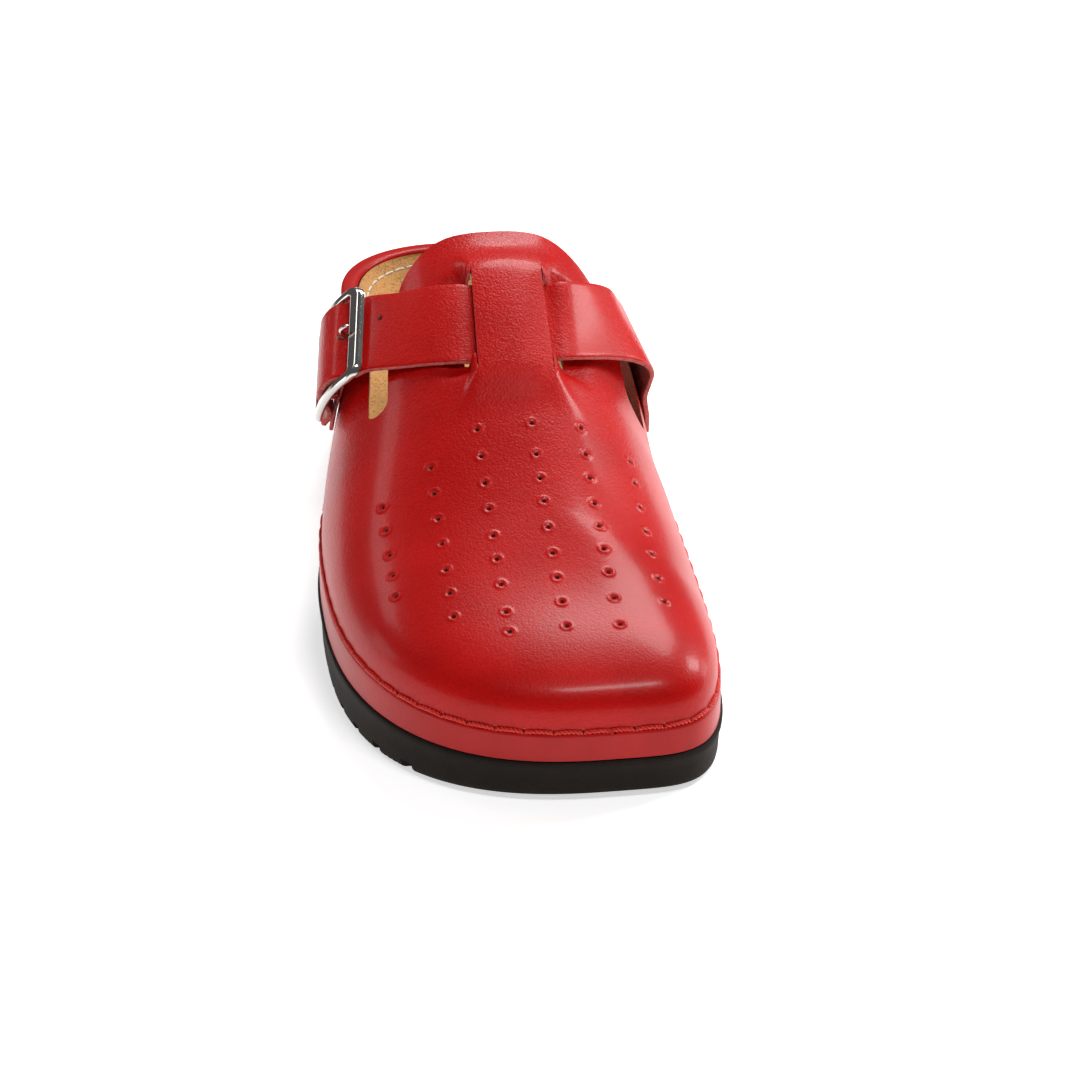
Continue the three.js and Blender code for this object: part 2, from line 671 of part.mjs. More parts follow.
function upper() {
  const { wall, columns } = UPPER;
  const places = FRACTIONS.map((f) => UPPER.inset + (LENGTH - 2 * UPPER.inset) * f);
  const end = places.findIndex((s) => s > UPPER.back);
  const used = places.slice(0, end);
  const points = [];
  const ids = new Map();
  const idOf = (key, make) => {
    if (!ids.has(key)) ids.set(key, points.push(make()) - 1);
    return ids.get(key);
  };
  const surface = (side, i, j) => upperPoint(side, used[i], columnAt(side, used[i], j));
  const offset = (side, i, j) => {
    const here = surface(side, i, j);
    if (j === columns) {
      const [x, s] = here;
      const rise = ridgeHeight(x, s + STEP.ridge) - ridgeHeight(x, s - STEP.ridge);
      return add(here, unit([0, -rise, 2 * STEP.ridge]), -wall);
    }
    const [s, u] = [used[i], Math.max(STEP.rim, columnAt(side, used[i], j))];
    const flat = (place, across) => upperPoint(side, place, across, false);
    const across = add(flat(s, u + STEP.u), flat(s, u), -1);
    const along = add(flat(s + STEP.s, u), flat(Math.max(UPPER.inset, s - STEP.s), u), -1);
    let normal = unit(cross(across, along).map((c) => -side * c));
    if (j === 0) normal = unit([normal[0], normal[1], 0]);
    if (i === 0) normal = unit([0, normal[1], normal[2]]);
    return add(here, normal, -wall);
  };
  const vertex = (layer, side, i, j) => {
    const shared = j === columns || i === 0 ? 0 : side;
    return idOf([layer, shared, i, j].join(), () => (layer ? offset : surface)(side, i, j));
  };
  const triangles = [];
  const quad = (flip, a, b, c, d) => {
    const corners = flip ? [d, c, b, a] : [a, b, c, d];
    triangles.push([corners[0], corners[1], corners[2]], [corners[0], corners[2], corners[3]]);
  };
  for (const side of [-1, 1]) {
    for (let i = 0; i + 1 < used.length; i++) {
      for (let j = 0; j < columns; j++) {
        for (const layer of [0, 1]) {
          const corner = (di, dj) => vertex(layer, side, i + di, j + dj);
          quad(side * (layer ? -1 : 1) > 0, corner(0, 0), corner(1, 0), corner(1, 1), corner(0, 1));
        }
      }
      quad(
        side < 0,
        vertex(0, side, i, 0),
        vertex(0, side, i + 1, 0),
        vertex(1, side, i + 1, 0),
        vertex(1, side, i, 0),
      );
    }
    const last = used.length - 1;
    for (let j = 0; j < columns; j++) {
      quad(
        side < 0,
        vertex(0, side, last, j),
        vertex(0, side, last, j + 1),
        vertex(1, side, last, j + 1),
        vertex(1, side, last, j),
      );
    }
  }
  let shell = solidOf(points, triangles);
  for (const slot of SLOTS) shell = shell.subtract(planPrism(slotOutline(slot)));
  shell = shell.subtract(planPrism(behindTongue()));
  for (const which of [0, 1]) shell = shell.subtract(planPrism(slitOutline(which)));
  return shell.subtract(aboveTopLine());
}

// Catmull-Rom points through rows of points, with the given number of steps between two rows.
function smoothRows(rows, steps) {
  const columns = rows[0].map((_, j) =>
    new THREE.CatmullRomCurve3(rows.map((row) => new THREE.Vector3(...row[j])), false, "centripetal"),
  );
  const made = [];
  const count = (rows.length - 1) * steps;
  for (let i = 0; i <= count; i++) made.push(columns.map((curve) => curve.getPoint(i / count).toArray()));
  return made;
}

const acrossStrap = () => {
  const steps = STRAP.acrossSteps;
  return Array.from({ length: steps + 1 }, (_, j) => (j / steps - 0.5) * STRAP.width);
};

// One row of points across the strap's middle layer, where it lies over the upper.
function strapRow({ x, s, lift, lean }) {
  return acrossStrap().map((k) => {
    const place = [x + k * lean, s + k * STRAP.back];
    return add(upperOver(...place), normalOver(...place), lift);
  });
}

function bendRow({ front, rear }) {
  return acrossStrap().map((k) => front.map((c, i) => mix(c, rear[i], k / STRAP.width + 0.5)));
}

// A row of points across a strip of leather that lies on the steep side of a quarter: each point is
// found on the upper's side at its own height.
function quarterRow(side, { s, z, lift }, across) {
  return across.map((k) => {
    const [place, height] = [s + k * STRAP.back, z + k * STRAP.rise];
    let [low, high] = [0, 1];
    for (let i = 0; i < 30; i++) {
      const u = (low + high) / 2;
      if (upperPoint(side, place, u, false)[2] < height) low = u;
      else high = u;
    }
    const at = (u, ds) => upperPoint(side, place + ds, u, false);
    const upward = add(at(low + STEP.quarter, 0), at(low, 0), -1);
    const backward = add(at(low, STEP.ridge), at(low, -STEP.ridge), -1);
    return add(at(low, 0), unit(cross(upward, backward).map((c) => -side * c)), lift);
  });
}

// The buckle's own frame: along its bars, down over the side of the foot, and outwards.
function buckleFrame() {
  const { inner, outer, along, standOff } = BUCKLE;
  const e1 = unit(along);
  const reach = add(outer, inner, -1);
  const e2 = unit(add(reach, e1, -dot(reach, e1)));
  const e3 = unit(cross(e1, e2));
  const middle = add(inner.map((c, i) => (c + outer[i]) / 2), e3, standOff);
  return { e1, e2, e3, middle, half: dot(reach, e2) / 2 };
}

function onBuckle(along, down, out) {
  const { e1, e2, e3, middle } = buckleFrame();
  return add(add(add(middle, e1, along), e2, down), e3, out);
}

function buckleRow({ down, out }) {
  const { half } = buckleFrame();
  return acrossStrap().map((k) => onBuckle(k, down * half, out));
}

function thickSheet(middle, thickness) {
  const normals = gridNormals(middle);
  const shifted = (k) => middle.map((row, i) => row.map((p, j) => add(p, normals[i][j], k)));
  return sheetSolid(shifted(thickness / 2), shifted(-thickness / 2));
}

function strapMiddle() {
  const rows = [
    ...STRAP_IN_BUCKLE.map(buckleRow),
    ...STRAP_ON_UPPER.map(strapRow),
    ...STRAP_BEND.map(bendRow),
    ...STRAP_ON_QUARTER.map((row) => quarterRow(1, row, acrossStrap())),
  ];
  return smoothRows(rows, 2);
}

// A box in the buckle's frame.
function buckleBox(along, down, out) {
  const size = [along, down, out].map(([from, to]) => to - from);
  const shape = new THREE.BoxGeometry(...size);
  shape.translate(...[along, down, out].map(([from, to]) => (from + to) / 2));
  return placeOnBuckle(solidOfGeometry(shape), 0);
}

// The opening in the strap or in the loop that the prong passes through.
function slotForProng({ width, down, out }) {
  return buckleBox([PRONG.along - width / 2, PRONG.along + width / 2], down, out);
}

function strap() {
  return thickSheet(strapMiddle(), STRAP.thickness).subtract(slotForProng(PRONG.hole));
}

// Places a solid made in the buckle's frame, bowed so that its middle stands off the foot.
function placeOnBuckle(solid, bow = BUCKLE.bow) {
  const { half } = buckleFrame();
  return solid.warp((p) => {
    [p[0], p[1], p[2]] = onBuckle(p[0], p[1], p[2] + bow * (1 - (p[1] / half) ** 2));
  });
}

// Points round a rectangle with round corners, with some along its short sides so that it can bow.
function roundedRectangle(halfLength, halfWidth, corner) {
  const points = [];
  const corners = [[1, 1], [-1, 1], [-1, -1], [1, -1]];
  corners.forEach(([alongSign, downSign], quarter) => {
    for (let k = 0; k <= 5; k++) {
      const angle = ((quarter + k / 5) * Math.PI) / 2;
      const x = alongSign * (halfLength - corner) + corner * Math.cos(angle);
      points.push(new THREE.Vector2(x, downSign * (halfWidth - corner) + corner * Math.sin(angle)));
    }
    if (quarter % 2 === 1) {
      for (const t of [0.5, 0, -0.5]) {
        points.push(new THREE.Vector2(alongSign * halfLength, downSign * t * (halfWidth - corner)));
      }
    }
  });
  return points;
}

function buckle() {
  const { half } = buckleFrame();
  const { length, bar, cheek, thickness, corner, innerCorner, axle, axleDrop } = BUCKLE;
  const shape = new THREE.Shape(roundedRectangle(length / 2, half + bar / 2, corner));
  const hole = roundedRectangle(length / 2 - cheek, half - bar / 2, innerCorner);
  shape.holes.push(new THREE.Path(hole));
  const plate = new THREE.ExtrudeGeometry(shape, { depth: thickness, bevelEnabled: false });
  plate.translate(0, 0, -thickness / 2);
  const rod = new THREE.CylinderGeometry(axle, axle, length - cheek, 12);
  rod.rotateZ(Math.PI / 2);
  rod.translate(0, 0, -axleDrop);
  let frame = solidOfGeometry(plate).add(solidOfGeometry(rod));
  for (const end of [-1, 1]) {
    const post = new THREE.BoxGeometry(2 * axle, 2 * axle, axleDrop);
    post.translate(end * (length / 2 - cheek / 2), 0, -axleDrop / 2);
    frame = frame.add(solidOfGeometry(post));
  }
  return placeOnBuckle(frame);
}

function buckleTab() {
  const { width, thickness, slot, wrap } = TAB;
  const across = [-0.5, 0, 0.5].map((k) => k * width);
  const radius = BUCKLE.axle + GAP + thickness / 2;
  const axleOut = BUCKLE.bow - BUCKLE.axleDrop;
  const rows = [];
  for (let k = 0; k <= wrap.steps; k++) {
    const angle = wrap.start + (wrap.turn * k) / wrap.steps;
    rows.push(across.map((a) => onBuckle(a, radius * Math.cos(angle), axleOut + radius * Math.sin(angle))));
  }
  rows.push(...TAB_TAIL.map((row) => quarterRow(-1, row, across)));
  return thickSheet(smoothRows(rows, 1), thickness).subtract(slotForProng(slot));
}

function buckleProng() {
  const way = PRONG_WAY.map(({ down, out }) => new THREE.Vector3(...onBuckle(PRONG.along, down, out)));
  const section = new THREE.Shape();
  section.absarc(0, 0, PRONG.radius, 0, 2 * Math.PI);
  const path = new THREE.CatmullRomCurve3(way);
  const options = { steps: 16, curveSegments: 4, bevelEnabled: false, extrudePath: path };
  return solidOfGeometry(new THREE.ExtrudeGeometry(section, options));
}

const parts = {
  outsole: { solid: outsole(), color: 0x241b15, roughness: 0.75 },
  midsole: { solid: midsole(), color: 0x9a6b3f, roughness: 0.95 },
  rand: { solid: rand(), color: 0xb01f1c, roughness: 0.4 },
  insole: { solid: insole(), color: 0xb98a55, roughness: 0.95 },
  upper: { solid: upper(), color: 0xb31a14, roughness: 0.4 },
  strap: { solid: strap(), color: 0xb83029, roughness: 0.4 },
  buckle: { solid: buckle(), color: 0xc8c4be, roughness: 0.15, metalness: 1 },
  buckle_tab: { solid: buckleTab(), color: 0xa52a24, roughness: 0.5 },
  buckle_prong: { solid: buckleProng(), color: 0xc8c4be, roughness: 0.15, metalness: 1 },
};

function meshOf(name, { solid, color, roughness, metalness = 0 }) {
  const made = solid.getMesh();
  const place = new Float32Array(made.vertProperties.length);
  for (let i = 0; i < made.numVert; i++) {
    const [x, s, z] = made.vertProperties.subarray(i * made.numProp, i * made.numProp + 3);
    place.set([x - MIDDLE_X, s - LENGTH / 2, z], i * 3);
  }
  const geometry = new THREE.BufferGeometry();
  geometry.setAttribute("position", new THREE.BufferAttribute(place, 3));
  geometry.setIndex(new THREE.BufferAttribute(made.triVerts, 1));
  geometry.computeVertexNormals();
  const mesh = new THREE.Mesh(geometry, new THREE.MeshStandardMaterial({ color, roughness, metalness }));
  mesh.name = name;
  return mesh;
}

const clog = new THREE.Group();
for (const [name, part] of Object.entries(parts)) clog.add(meshOf(name, part));

export default clog;
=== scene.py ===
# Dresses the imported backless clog: a pebbled red leather upper with round punched holes, a strap that
# dives under a band of the instep, a nickel buckle, a stitched rand, a suede footbed and a rubber sole.
#
# Shapes are worked out in millimetres as the pattern is: s is the distance back from the toe tip, x the
# distance from the heel's middle line towards the big toe, z the height. row_frame() turns them into the
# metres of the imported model.
import math

import bmesh
import bpy
import numpy as np
from bpy.props import FloatProperty, FloatVectorProperty, IntProperty, PointerProperty
from mathutils import Matrix, Vector


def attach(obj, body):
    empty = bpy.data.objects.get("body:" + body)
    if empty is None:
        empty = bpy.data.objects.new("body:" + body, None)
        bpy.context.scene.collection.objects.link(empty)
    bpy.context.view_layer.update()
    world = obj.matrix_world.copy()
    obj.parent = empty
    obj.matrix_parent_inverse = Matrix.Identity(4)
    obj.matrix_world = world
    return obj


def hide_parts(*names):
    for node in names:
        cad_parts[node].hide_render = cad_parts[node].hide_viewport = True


bl_info = {
    "name": "Backless Buckle Clog",
    "version": (1, 0, 0),
    "blender": (4, 5, 0),
    "location": "View3D > Sidebar > Clog",
    "description": "Builds the visible leather, suede, rubber, metal and thread of a buckled clog",
    "category": "Object",
}

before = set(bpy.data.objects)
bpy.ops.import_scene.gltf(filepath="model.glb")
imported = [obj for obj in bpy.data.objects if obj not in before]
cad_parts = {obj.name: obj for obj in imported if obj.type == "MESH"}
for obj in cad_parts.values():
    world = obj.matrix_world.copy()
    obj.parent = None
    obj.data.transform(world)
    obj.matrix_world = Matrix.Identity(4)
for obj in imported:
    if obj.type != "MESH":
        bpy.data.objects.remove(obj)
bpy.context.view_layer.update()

MM = 0.001
TO_MM = 1000.0

# The sole's plan.
LENGTH = 258.0
TOE_X = 12.0
LATERAL_TOE = {"reach": 64.4, "run": 83.0, "power": 2.5}
MEDIAL_TOE = {"reach": 34.4, "run": 96.0, "power": 4.5}
HEEL = {"half_width": 34.0, "run": 36.0, "power": 2.2}
WAIST_PINCH = {"lateral": 2.6, "medial": 5.0}
MIDDLE_X = TOE_X + (MEDIAL_TOE["reach"] - LATERAL_TOE["reach"]) / 2


def table(columns, rows):
    """A short table as a dictionary of its named columns."""
    return dict(zip(columns.split(), np.array(rows, float).T))


# Heights along the shoe: the rand's top edge, the middle of the footbed, and the rise of the ridge.
HEIGHTS = table("s rand bed ridge", [
    (0, 19.0, 16.5, 15.0),
    (25, 20.8, 17.6, 17.5),
    (40, 21.9, 18.4, 20.6),
    (55, 23.0, 19.6, 26.0),
    (70, 24.1, 21.0, 32.4),
    (85, 25.2, 22.4, 39.8),
    (100, 26.3, 24.0, 47.2),
    (125, 28.5, 27.2, 59.6),
    (145, 30.6, 30.2, 64.6),
    (175, 37.0, 33.8, 71.5),
    (205, 45.0, 36.4, 72.0),
    (230, 48.9, 37.4, 72.0),
    (258, 50.0, 37.8, 72.0),
])

# The outsole's top, its toe spring, its arch and the bevel of its heel.
SOLE_TOP = {"toe": 11.2, "heel": 21.0}
TOE_SPRING = {"rise": 1.8, "run": 62.0}
ARCH = {"start": 138.0, "end": 186.0, "rise": 5.0}
HEEL_BEVEL = {"rise": 2.0, "run": 12.0}
TREAD = {"pitch": 11.0, "groove": 3.2, "depth": 2.2}
FINE_TREAD = {"groove": 0.7, "depth": 0.9, "places": (-2.2, -0.35, 1.5)}
TREAD_RUNS = [(20.0, 130.0), (199.0, 246.0)]

GAP = 0.3
NEEDLE = {"radius": 0.62, "below": 1.3, "above": 2.5}
RAND = {"inset": 0.6, "thickness": 1.6, "flange": 4.8, "round_over": 1.1}
INSOLE = {"thickness": 2.0, "sunk": 0.9, "cup_power": 3.2}
BED_INSET = RAND["inset"] + RAND["flange"] + GAP

# The upper stands on this plan line, and its toe fans out from the pole on the ridge.
UPPER = {"inset": 1.4, "pole": 58.0, "pole_blend": 20.0, "back": 188.0}
SOFTEST_CROWN = 2.05
RIDGE_X = table("s x", [
    (0, 12), (30, 8), (58, 4.5), (85, 2.5), (110, 1.2), (145, 0.6), (205, 0),
])
ARCH_POWER = table("s lateral medial", [
    (1.4, 3.6, 3.6),
    (25, 3.2, 2.7),
    (50, 2.35, 1.9),
    (75, 2.1, 1.7),
    (100, 2.0, 1.65),
    (115, 2.05, 1.75),
    (130, 2.2, 2.45),
    (145, 2.4, 2.75),
    (205, 2.7, 2.7),
])

# The tongue, the slots beside it, and the slits with the band of leather between them.
TONGUE = {"rear": 145.0, "across": 17.0, "back": 15.0, "edges": (-25.8, 30.0), "reach": (-30.2, 31.8),
          "behind": 152.0}
SLOTS = [
    {"end": (-34.0, 105.0), "rear": (-28.4, 150.0)},
    {"end": (36.8, 117.0), "rear": (31.4, 145.0)},
]
SLOT_HALF_WIDTH = 2.6
SLITS = {"start": 99.5, "end": 128.8, "width": 3.4, "lip": 0.9}
BAND_EDGES = {"start": (-7.8, 12.1), "end": (-6.0, 12.8)}
BAND = {"lift": 2.5, "rise": 15.0, "ahead": 13.0, "spread": 0.9}
DIP = {"depth": 1.95, "reach": 10.0, "rise": 4.5, "past": 3.0}
SLIT_TAPER = table("along share", [(0, 0.06), (0.14, 0.12), (0.18, 1), (0.895, 1), (0.93, 0.12), (1, 0.06)])
TOP_LINE = [(138, 92), (146, 76), (152, 66), (162, 54), (175, 45), (190, 42.6)]
# Where the quarters are cut to the top line: between two distances from the middle, from a row of it
# on, and how far ahead the line is moved.
QUARTER_CUTS = [(-70, -30, 0, 0), (-70, 0, 2, 0), (30.5, 70.5, 0, 6), (0, 70.5, 2, 6)]

# The punched holes, in rows back from the toe: their x, and how far back each one lies.
HOLE_ROWS = [
    (-36.3, (73.3, 65.8, 57.6, 50.6, 43.6)),
    (-23.2, (77.8, 70.2, 62.4, 54.5, 46.0, 38.6, 31.0)),
    (-10.2, (84.7, 77.1, 69.5, 62.0, 53.7, 46.7, 38.9, 29.8, 23.2)),
    (4.1, (84.6, 76.0, 69.2, 62.6, 54.9, 47.2, 39.7, 31.6, 23.3)),
    (17.3, (85.8, 77.9, 70.8, 63.0, 55.5, 48.0, 40.5, 31.8, 22.7)),
    (30.2, (84.9, 77.2, 68.7, 59.9, 50.9, 41.0, 31.9)),
]
# The leather's grain: its scale, its depth in metres, and where along the vamp it grows stronger.
GRAIN = {"scale": 1600.0, "depth": 0.00016, "vamp": (-0.085, -0.02)}
PUCKER = {"ring": 1.35, "ring_width": 0.42, "rise": 0.17, "sink": 0.16, "sink_width": 0.8, "reach": 3.4}

# The strap's middle line over the upper, in the buckle, in its bend and on the inner quarter.
STRAP_SLOPE = {"back": 0.87, "rise": 0.49}
STRAP_ON_UPPER = table("x s lift lean", [
    (-25, 120, 1.8, 0.1),
    (-18, 116.8, 1.2, 0.09),
    (-11.0, 115, 0.3, 0.09),
    (-5.4, 114.6, -1.45, 0.09),
    (3, 114.8, -1.5, 0.08),
    (12.0, 115.4, -1.45, 0.08),
    (17.2, 116.5, 1.3, 0.06),
])
STRAP_IN_BUCKLE = table("down out", [
    (1.3, -3.2),
    (1.0, -3.2),
    (0.76, -1.9),
    (0.42, 2.5),
    (0, 3.8),
    (-0.42, 2.5),
    (-0.76, -1.9),
    (-1.0, -3.2),
])
STRAP_BEND = [
    ((34.5, 116, 67.8), (31.4, 135, 81.2)),
    ((40.4, 119, 64.4), (34.8, 140, 76)),
    ((42.2, 120.6, 61.2), (36.8, 142, 72.4)),
    ((41.9, 122.4, 57.6), (37.8, 144, 68.4)),
]
STRAP_ON_QUARTER = table("s z lift", [(134.6, 58.6, 1.7), (136.5, 52, 1.35), (138, 47, 1.3)])
SPARE_HOLE = {"x": -30.6, "s": 125.2, "radius": 0.9}

# The buckle: the middles of its bars, which lie along the strap's width, and the axle under them.
BUCKLE = {
    "inner": (-35.4, 125.5, 77.2),
    "outer": (-45.0, 134.4, 57.4),
    "along": (0.13, 0.86, 0.49),
    "stand_off": 2.2,
    "length": 31.0,
    "bar": 3.6,
    "thickness": 2.2,
    "corner": 4.0,
    "bow": 2.2,
    "axle": 1.0,
    "axle_drop": 2.4,
    "bevel": 0.65,
}
TAB = {"width": 16.0, "thickness": 1.2, "slot": 3.2}
TAB_TAIL = table("s z lift", [(134, 58, 0.95), (136.5, 53.5, 0.95), (138.5, 49, 0.95)])
PRONG = {"along": 0.6, "radius": 0.8, "tip_radius": 0.5, "eye_radius": 1.75,
         "eye_wire": 0.6}
PRONG_HOLE = {"start": -9.8, "end": -5.6, "width": 2.2}
PRONG_WAY = table("down out", [
    (-2.3, -0.2), (-4.8, -1.1), (-6.8, -0.5), (-7.8, 1.6), (-9.4, 3.4), (-12.2, 2.8),
])

# How finely the pieces are meshed, as lengths of the faces' sides.
MESH = {"upper_along": 1.5, "upper_columns": 64, "edge_along": 1.5, "strap_steps": 9, "cut_sides": 12}

# What the numbers of a piece's faces stand for in its list of finishes.
FACE_GRAIN, FACE_CUT, FACE_LINING = range(3)


class ClogLeather(bpy.types.PropertyGroup):
    wall: FloatProperty(
        name="Wall", description="Thickness of the upper's leather and lining",
        default=0.002, min=0.001, max=0.004, unit="LENGTH")
    hole: FloatProperty(
        name="Hole", description="Width of the punched holes", default=0.0013, min=0.0005, max=0.004,
        unit="LENGTH")
    strap_width: FloatProperty(
        name="Strap width", description="Width of the instep strap", default=0.025, min=0.01, max=0.04,
        unit="LENGTH")
    strap_thickness: FloatProperty(
        name="Strap thickness", description="Thickness of the instep strap", default=0.0017, min=0.001,
        max=0.003, unit="LENGTH")


class ClogStitching(bpy.types.PropertyGroup):
    seam_pitch: FloatProperty(
        name="Seam stitch", description="Length of a stitch of the rand's seam", default=0.0072,
        min=0.003, max=0.012, unit="LENGTH")
    seam_thread: FloatProperty(
        name="Seam thread", description="Thickness of the rand's thread", default=0.0012, min=0.0004,
        max=0.002, unit="LENGTH")
    bed_pitch: FloatProperty(
        name="Footbed stitch", description="Length of a stitch of the footbed's seam", default=0.0042,
        min=0.002, max=0.01, unit="LENGTH")
    bed_thread: FloatProperty(
        name="Footbed thread", description="Thickness of the footbed's thread", default=0.0006,
        min=0.0003, max=0.002, unit="LENGTH")
    bed_inset: FloatProperty(
        name="Footbed seam inset", description="Distance of the footbed's seam from the shoe's edge",
        default=0.0084, min=0.006, max=0.025, unit="LENGTH")


def colour(name, description, default):
    return FloatVectorProperty(name=name, description=description, default=default, subtype="COLOR",
                               size=3, min=0, max=1)


class ClogColours(bpy.types.PropertyGroup):
    vamp: colour("Vamp", "Red of the upper's leather", (0.55, 0.004, 0.003))
    strap: colour("Strap", "Red of the strap's leather", (0.58, 0.007, 0.005))
    rand: colour("Rand", "Red of the strip round the sole", (0.46, 0.008, 0.007))
    # The raw edge's pale red is partly the raw fibres' own colour and partly a painted highlight, made paler
    # so the edge reads light where it stands in shade.
    cut: colour("Cut edge", "Red of the leather's raw cut edge", (0.66, 0.16, 0.14))
    suede: colour("Suede", "Tan of the footbed and lining", (0.62, 0.31, 0.105))
    rubber: colour("Rubber", "Brown black of the outsole", (0.013, 0.0088, 0.0062))
    metal: colour("Metal", "Nickel of the buckle", (0.62, 0.60, 0.57))
    seam: colour("Seam thread", "Red of the rand's thread", (0.80, 0.030, 0.018))
    bed_seam: colour("Footbed thread", "Off-white of the footbed's thread", (0.80, 0.76, 0.66))


class ClogStage(bpy.types.PropertyGroup):
    key: FloatProperty(name="Key light", description="Strength of the light behind the shoe", default=1.0)
    left: FloatProperty(name="Left lights", description="Strength of the lights on the left", default=1.0)
    right: FloatProperty(name="Right lights", description="Strength of the lights on the right", default=1.0)
    front: FloatProperty(name="Front light", description="Strength of the light over the toe", default=1.0)
    world: FloatProperty(name="World", description="Strength of the white surroundings", default=0.1)
    floor: FloatProperty(name="Floor", description="How much the pale floor shines by itself", default=0.6)
    lens: FloatProperty(name="Lens", description="Focal length in millimetres", default=111.96)


class ClogSettings(bpy.types.PropertyGroup):
    leather: PointerProperty(type=ClogLeather)
    stitching: PointerProperty(type=ClogStitching)
    colours: PointerProperty(type=ClogColours)
    stage: PointerProperty(type=ClogStage)
    seed: IntProperty(name="Seed", description="Seed of the small unevenness", default=7)


# Curves, outlines and surfaces of the shoe.

def curve_through(rows, key, place="s"):
    """A smooth function through one column of a table."""
    at, values = rows[place], rows[key]
    before = np.r_[0, np.arange(len(at) - 1)]
    after = np.r_[np.arange(1, len(at)), len(at) - 1]
    slopes = (values[after] - values[before]) / (at[after] - at[before])

    def value(where):
        i = np.clip(np.searchsorted(at, where, side="right") - 1, 0, len(at) - 2)
        span = at[i + 1] - at[i]
        t = np.clip((where - at[i]) / span, 0, 1)
        start = values[i] * (1 - t) ** 2 * (1 + 2 * t) + slopes[i] * span * t * (1 - t) ** 2
        end = values[i + 1] * t**2 * (3 - 2 * t) - slopes[i + 1] * span * t**2 * (1 - t)
        return start + end

    return value


rand_top = curve_through(HEIGHTS, "rand")
bed_middle = curve_through(HEIGHTS, "bed")
ridge_rise = curve_through(HEIGHTS, "ridge")
ridge_x = curve_through(RIDGE_X, "x")
lateral_power = curve_through(ARCH_POWER, "lateral")
medial_power = curve_through(ARCH_POWER, "medial")


def sole_top(s):
    return SOLE_TOP["toe"] + (SOLE_TOP["heel"] - SOLE_TOP["toe"]) * (s / LENGTH)


def smooth(t):
    k = np.clip(t, 0, 1)
    return k * k * k * (k * (6 * k - 15) + 10)


def rounded(along, power):
    return (1 - np.clip(along, 0, 1) ** power) ** (1 / power)


def mix(a, b, t):
    return a + (b - a) * t


def arch(u, power):
    """The upper's rise from its foot to the ridge: steep at the foot, and without a crease on top."""
    crown = np.maximum(power, SOFTEST_CROWN)
    return (1 - (1 - np.clip(u, 0, 1)) ** crown) ** (crown / power**2)


def unit(vectors):
    vectors = np.asarray(vectors, float)
    return vectors / np.maximum(np.linalg.norm(vectors, axis=-1, keepdims=True), 1e-12)


def floor_at(s):
    """How far the outsole's underside stands off the floor."""
    spring = TOE_SPRING["rise"] * np.clip(1 - s / TOE_SPRING["run"], 0, 1) ** 2
    bevel_start = LENGTH - HEEL_BEVEL["run"]
    bevel = HEEL_BEVEL["rise"] * np.clip((s - bevel_start) / HEEL_BEVEL["run"], 0, 1) ** 2
    t = (s - ARCH["start"]) / (ARCH["end"] - ARCH["start"])
    arch = ARCH["rise"] * np.minimum(smooth(3 * t), smooth(3 * (1 - t)))
    return spring + bevel + arch


def side_x(side, s, inset):
    """The plan outline on the lateral (-1) or medial (1) side, moved in by inset."""
    lateral = np.asarray(side) < 0
    reach = np.where(lateral, LATERAL_TOE["reach"], MEDIAL_TOE["reach"])
    run = np.where(lateral, LATERAL_TOE["run"], MEDIAL_TOE["run"])
    power = np.where(lateral, LATERAL_TOE["power"], MEDIAL_TOE["power"])
    pinch = np.where(lateral, WAIST_PINCH["lateral"], WAIST_PINCH["medial"])
    heel_start = LENGTH - HEEL["run"]
    toe = TOE_X + side * (reach - inset) * rounded((run - s) / (run - inset), power)
    back = (s - heel_start) / (HEEL["run"] - inset)
    heel = side * (HEEL["half_width"] - inset) * rounded(back, HEEL["power"])
    t = (s - run) / (heel_start - run)
    widest = TOE_X + side * reach
    waist = widest + (side * HEEL["half_width"] - widest) * smooth(t)
    waist = waist - side * (inset + pinch * np.sin(math.pi * t) ** 2)
    return np.where(s < run, toe, np.where(s > heel_start, heel, waist))


def stations(spacing, first=0.0, last=LENGTH):
    """Places along the shoe whose outline points lie evenly round the edge."""
    steps = 6000
    fine = LENGTH * (1 - np.cos(math.pi * np.arange(steps + 1) / steps)) / 2
    along = np.diff(fine)
    length = sum(np.hypot(along, np.diff(side_x(side, fine, 0.0))) for side in (-1, 1)) / 2
    travelled = np.r_[0, np.cumsum(length)]
    start, end = np.interp([first, last], fine, travelled)
    count = max(2, round((end - start) / spacing))
    made = np.interp(np.linspace(start, end, count + 1), travelled, fine)
    made[0], made[-1] = first, last
    return made


def ring(inset, height, places):
    """A closed ring of points: the toe tip, the lateral side to the heel, the medial side back."""
    s = inset + (LENGTH - 2 * inset) * places / LENGTH
    z = height(s)
    left = np.stack([side_x(-1, s, inset), s, z], 1)
    right = np.stack([side_x(1, s, inset), s, z], 1)
    return np.vstack([left, right[-2:0:-1]])


def lift_at(x, s):
    """How far the strap lifts or presses the upper at a place in plan."""
    start, end, width, lip = [SLITS[key] for key in ("start", "end", "width", "lip")]
    t = (s - start) / (end - start)
    left, right = [mix(BAND_EDGES["start"][i], BAND_EDGES["end"][i], t) for i in (0, 1)]
    outside = np.maximum(left - x, x - right)
    beyond = np.maximum(0, np.maximum(start - s, s - end))
    rise, ahead = BAND["rise"], BAND["ahead"]
    band = BAND["lift"] * smooth((s - start + ahead) / rise) * smooth((end + ahead - s) / rise)
    dip = smooth((s - start) / DIP["rise"]) * smooth((end + DIP["past"] - s) / DIP["rise"])
    fall = smooth((outside - lip) / (width - 2 * lip + BAND["spread"] * beyond))
    far = smooth((outside - width) / DIP["reach"])
    return band * (1 - fall) - DIP["depth"] * dip * fall * (1 - far)


def ridge_place(s):
    """Where the line that starts at s on the feather edge meets the ridge, never ahead of the pole."""
    return (s + UPPER["pole"] + np.hypot(s - UPPER["pole"], UPPER["pole_blend"])) / 2


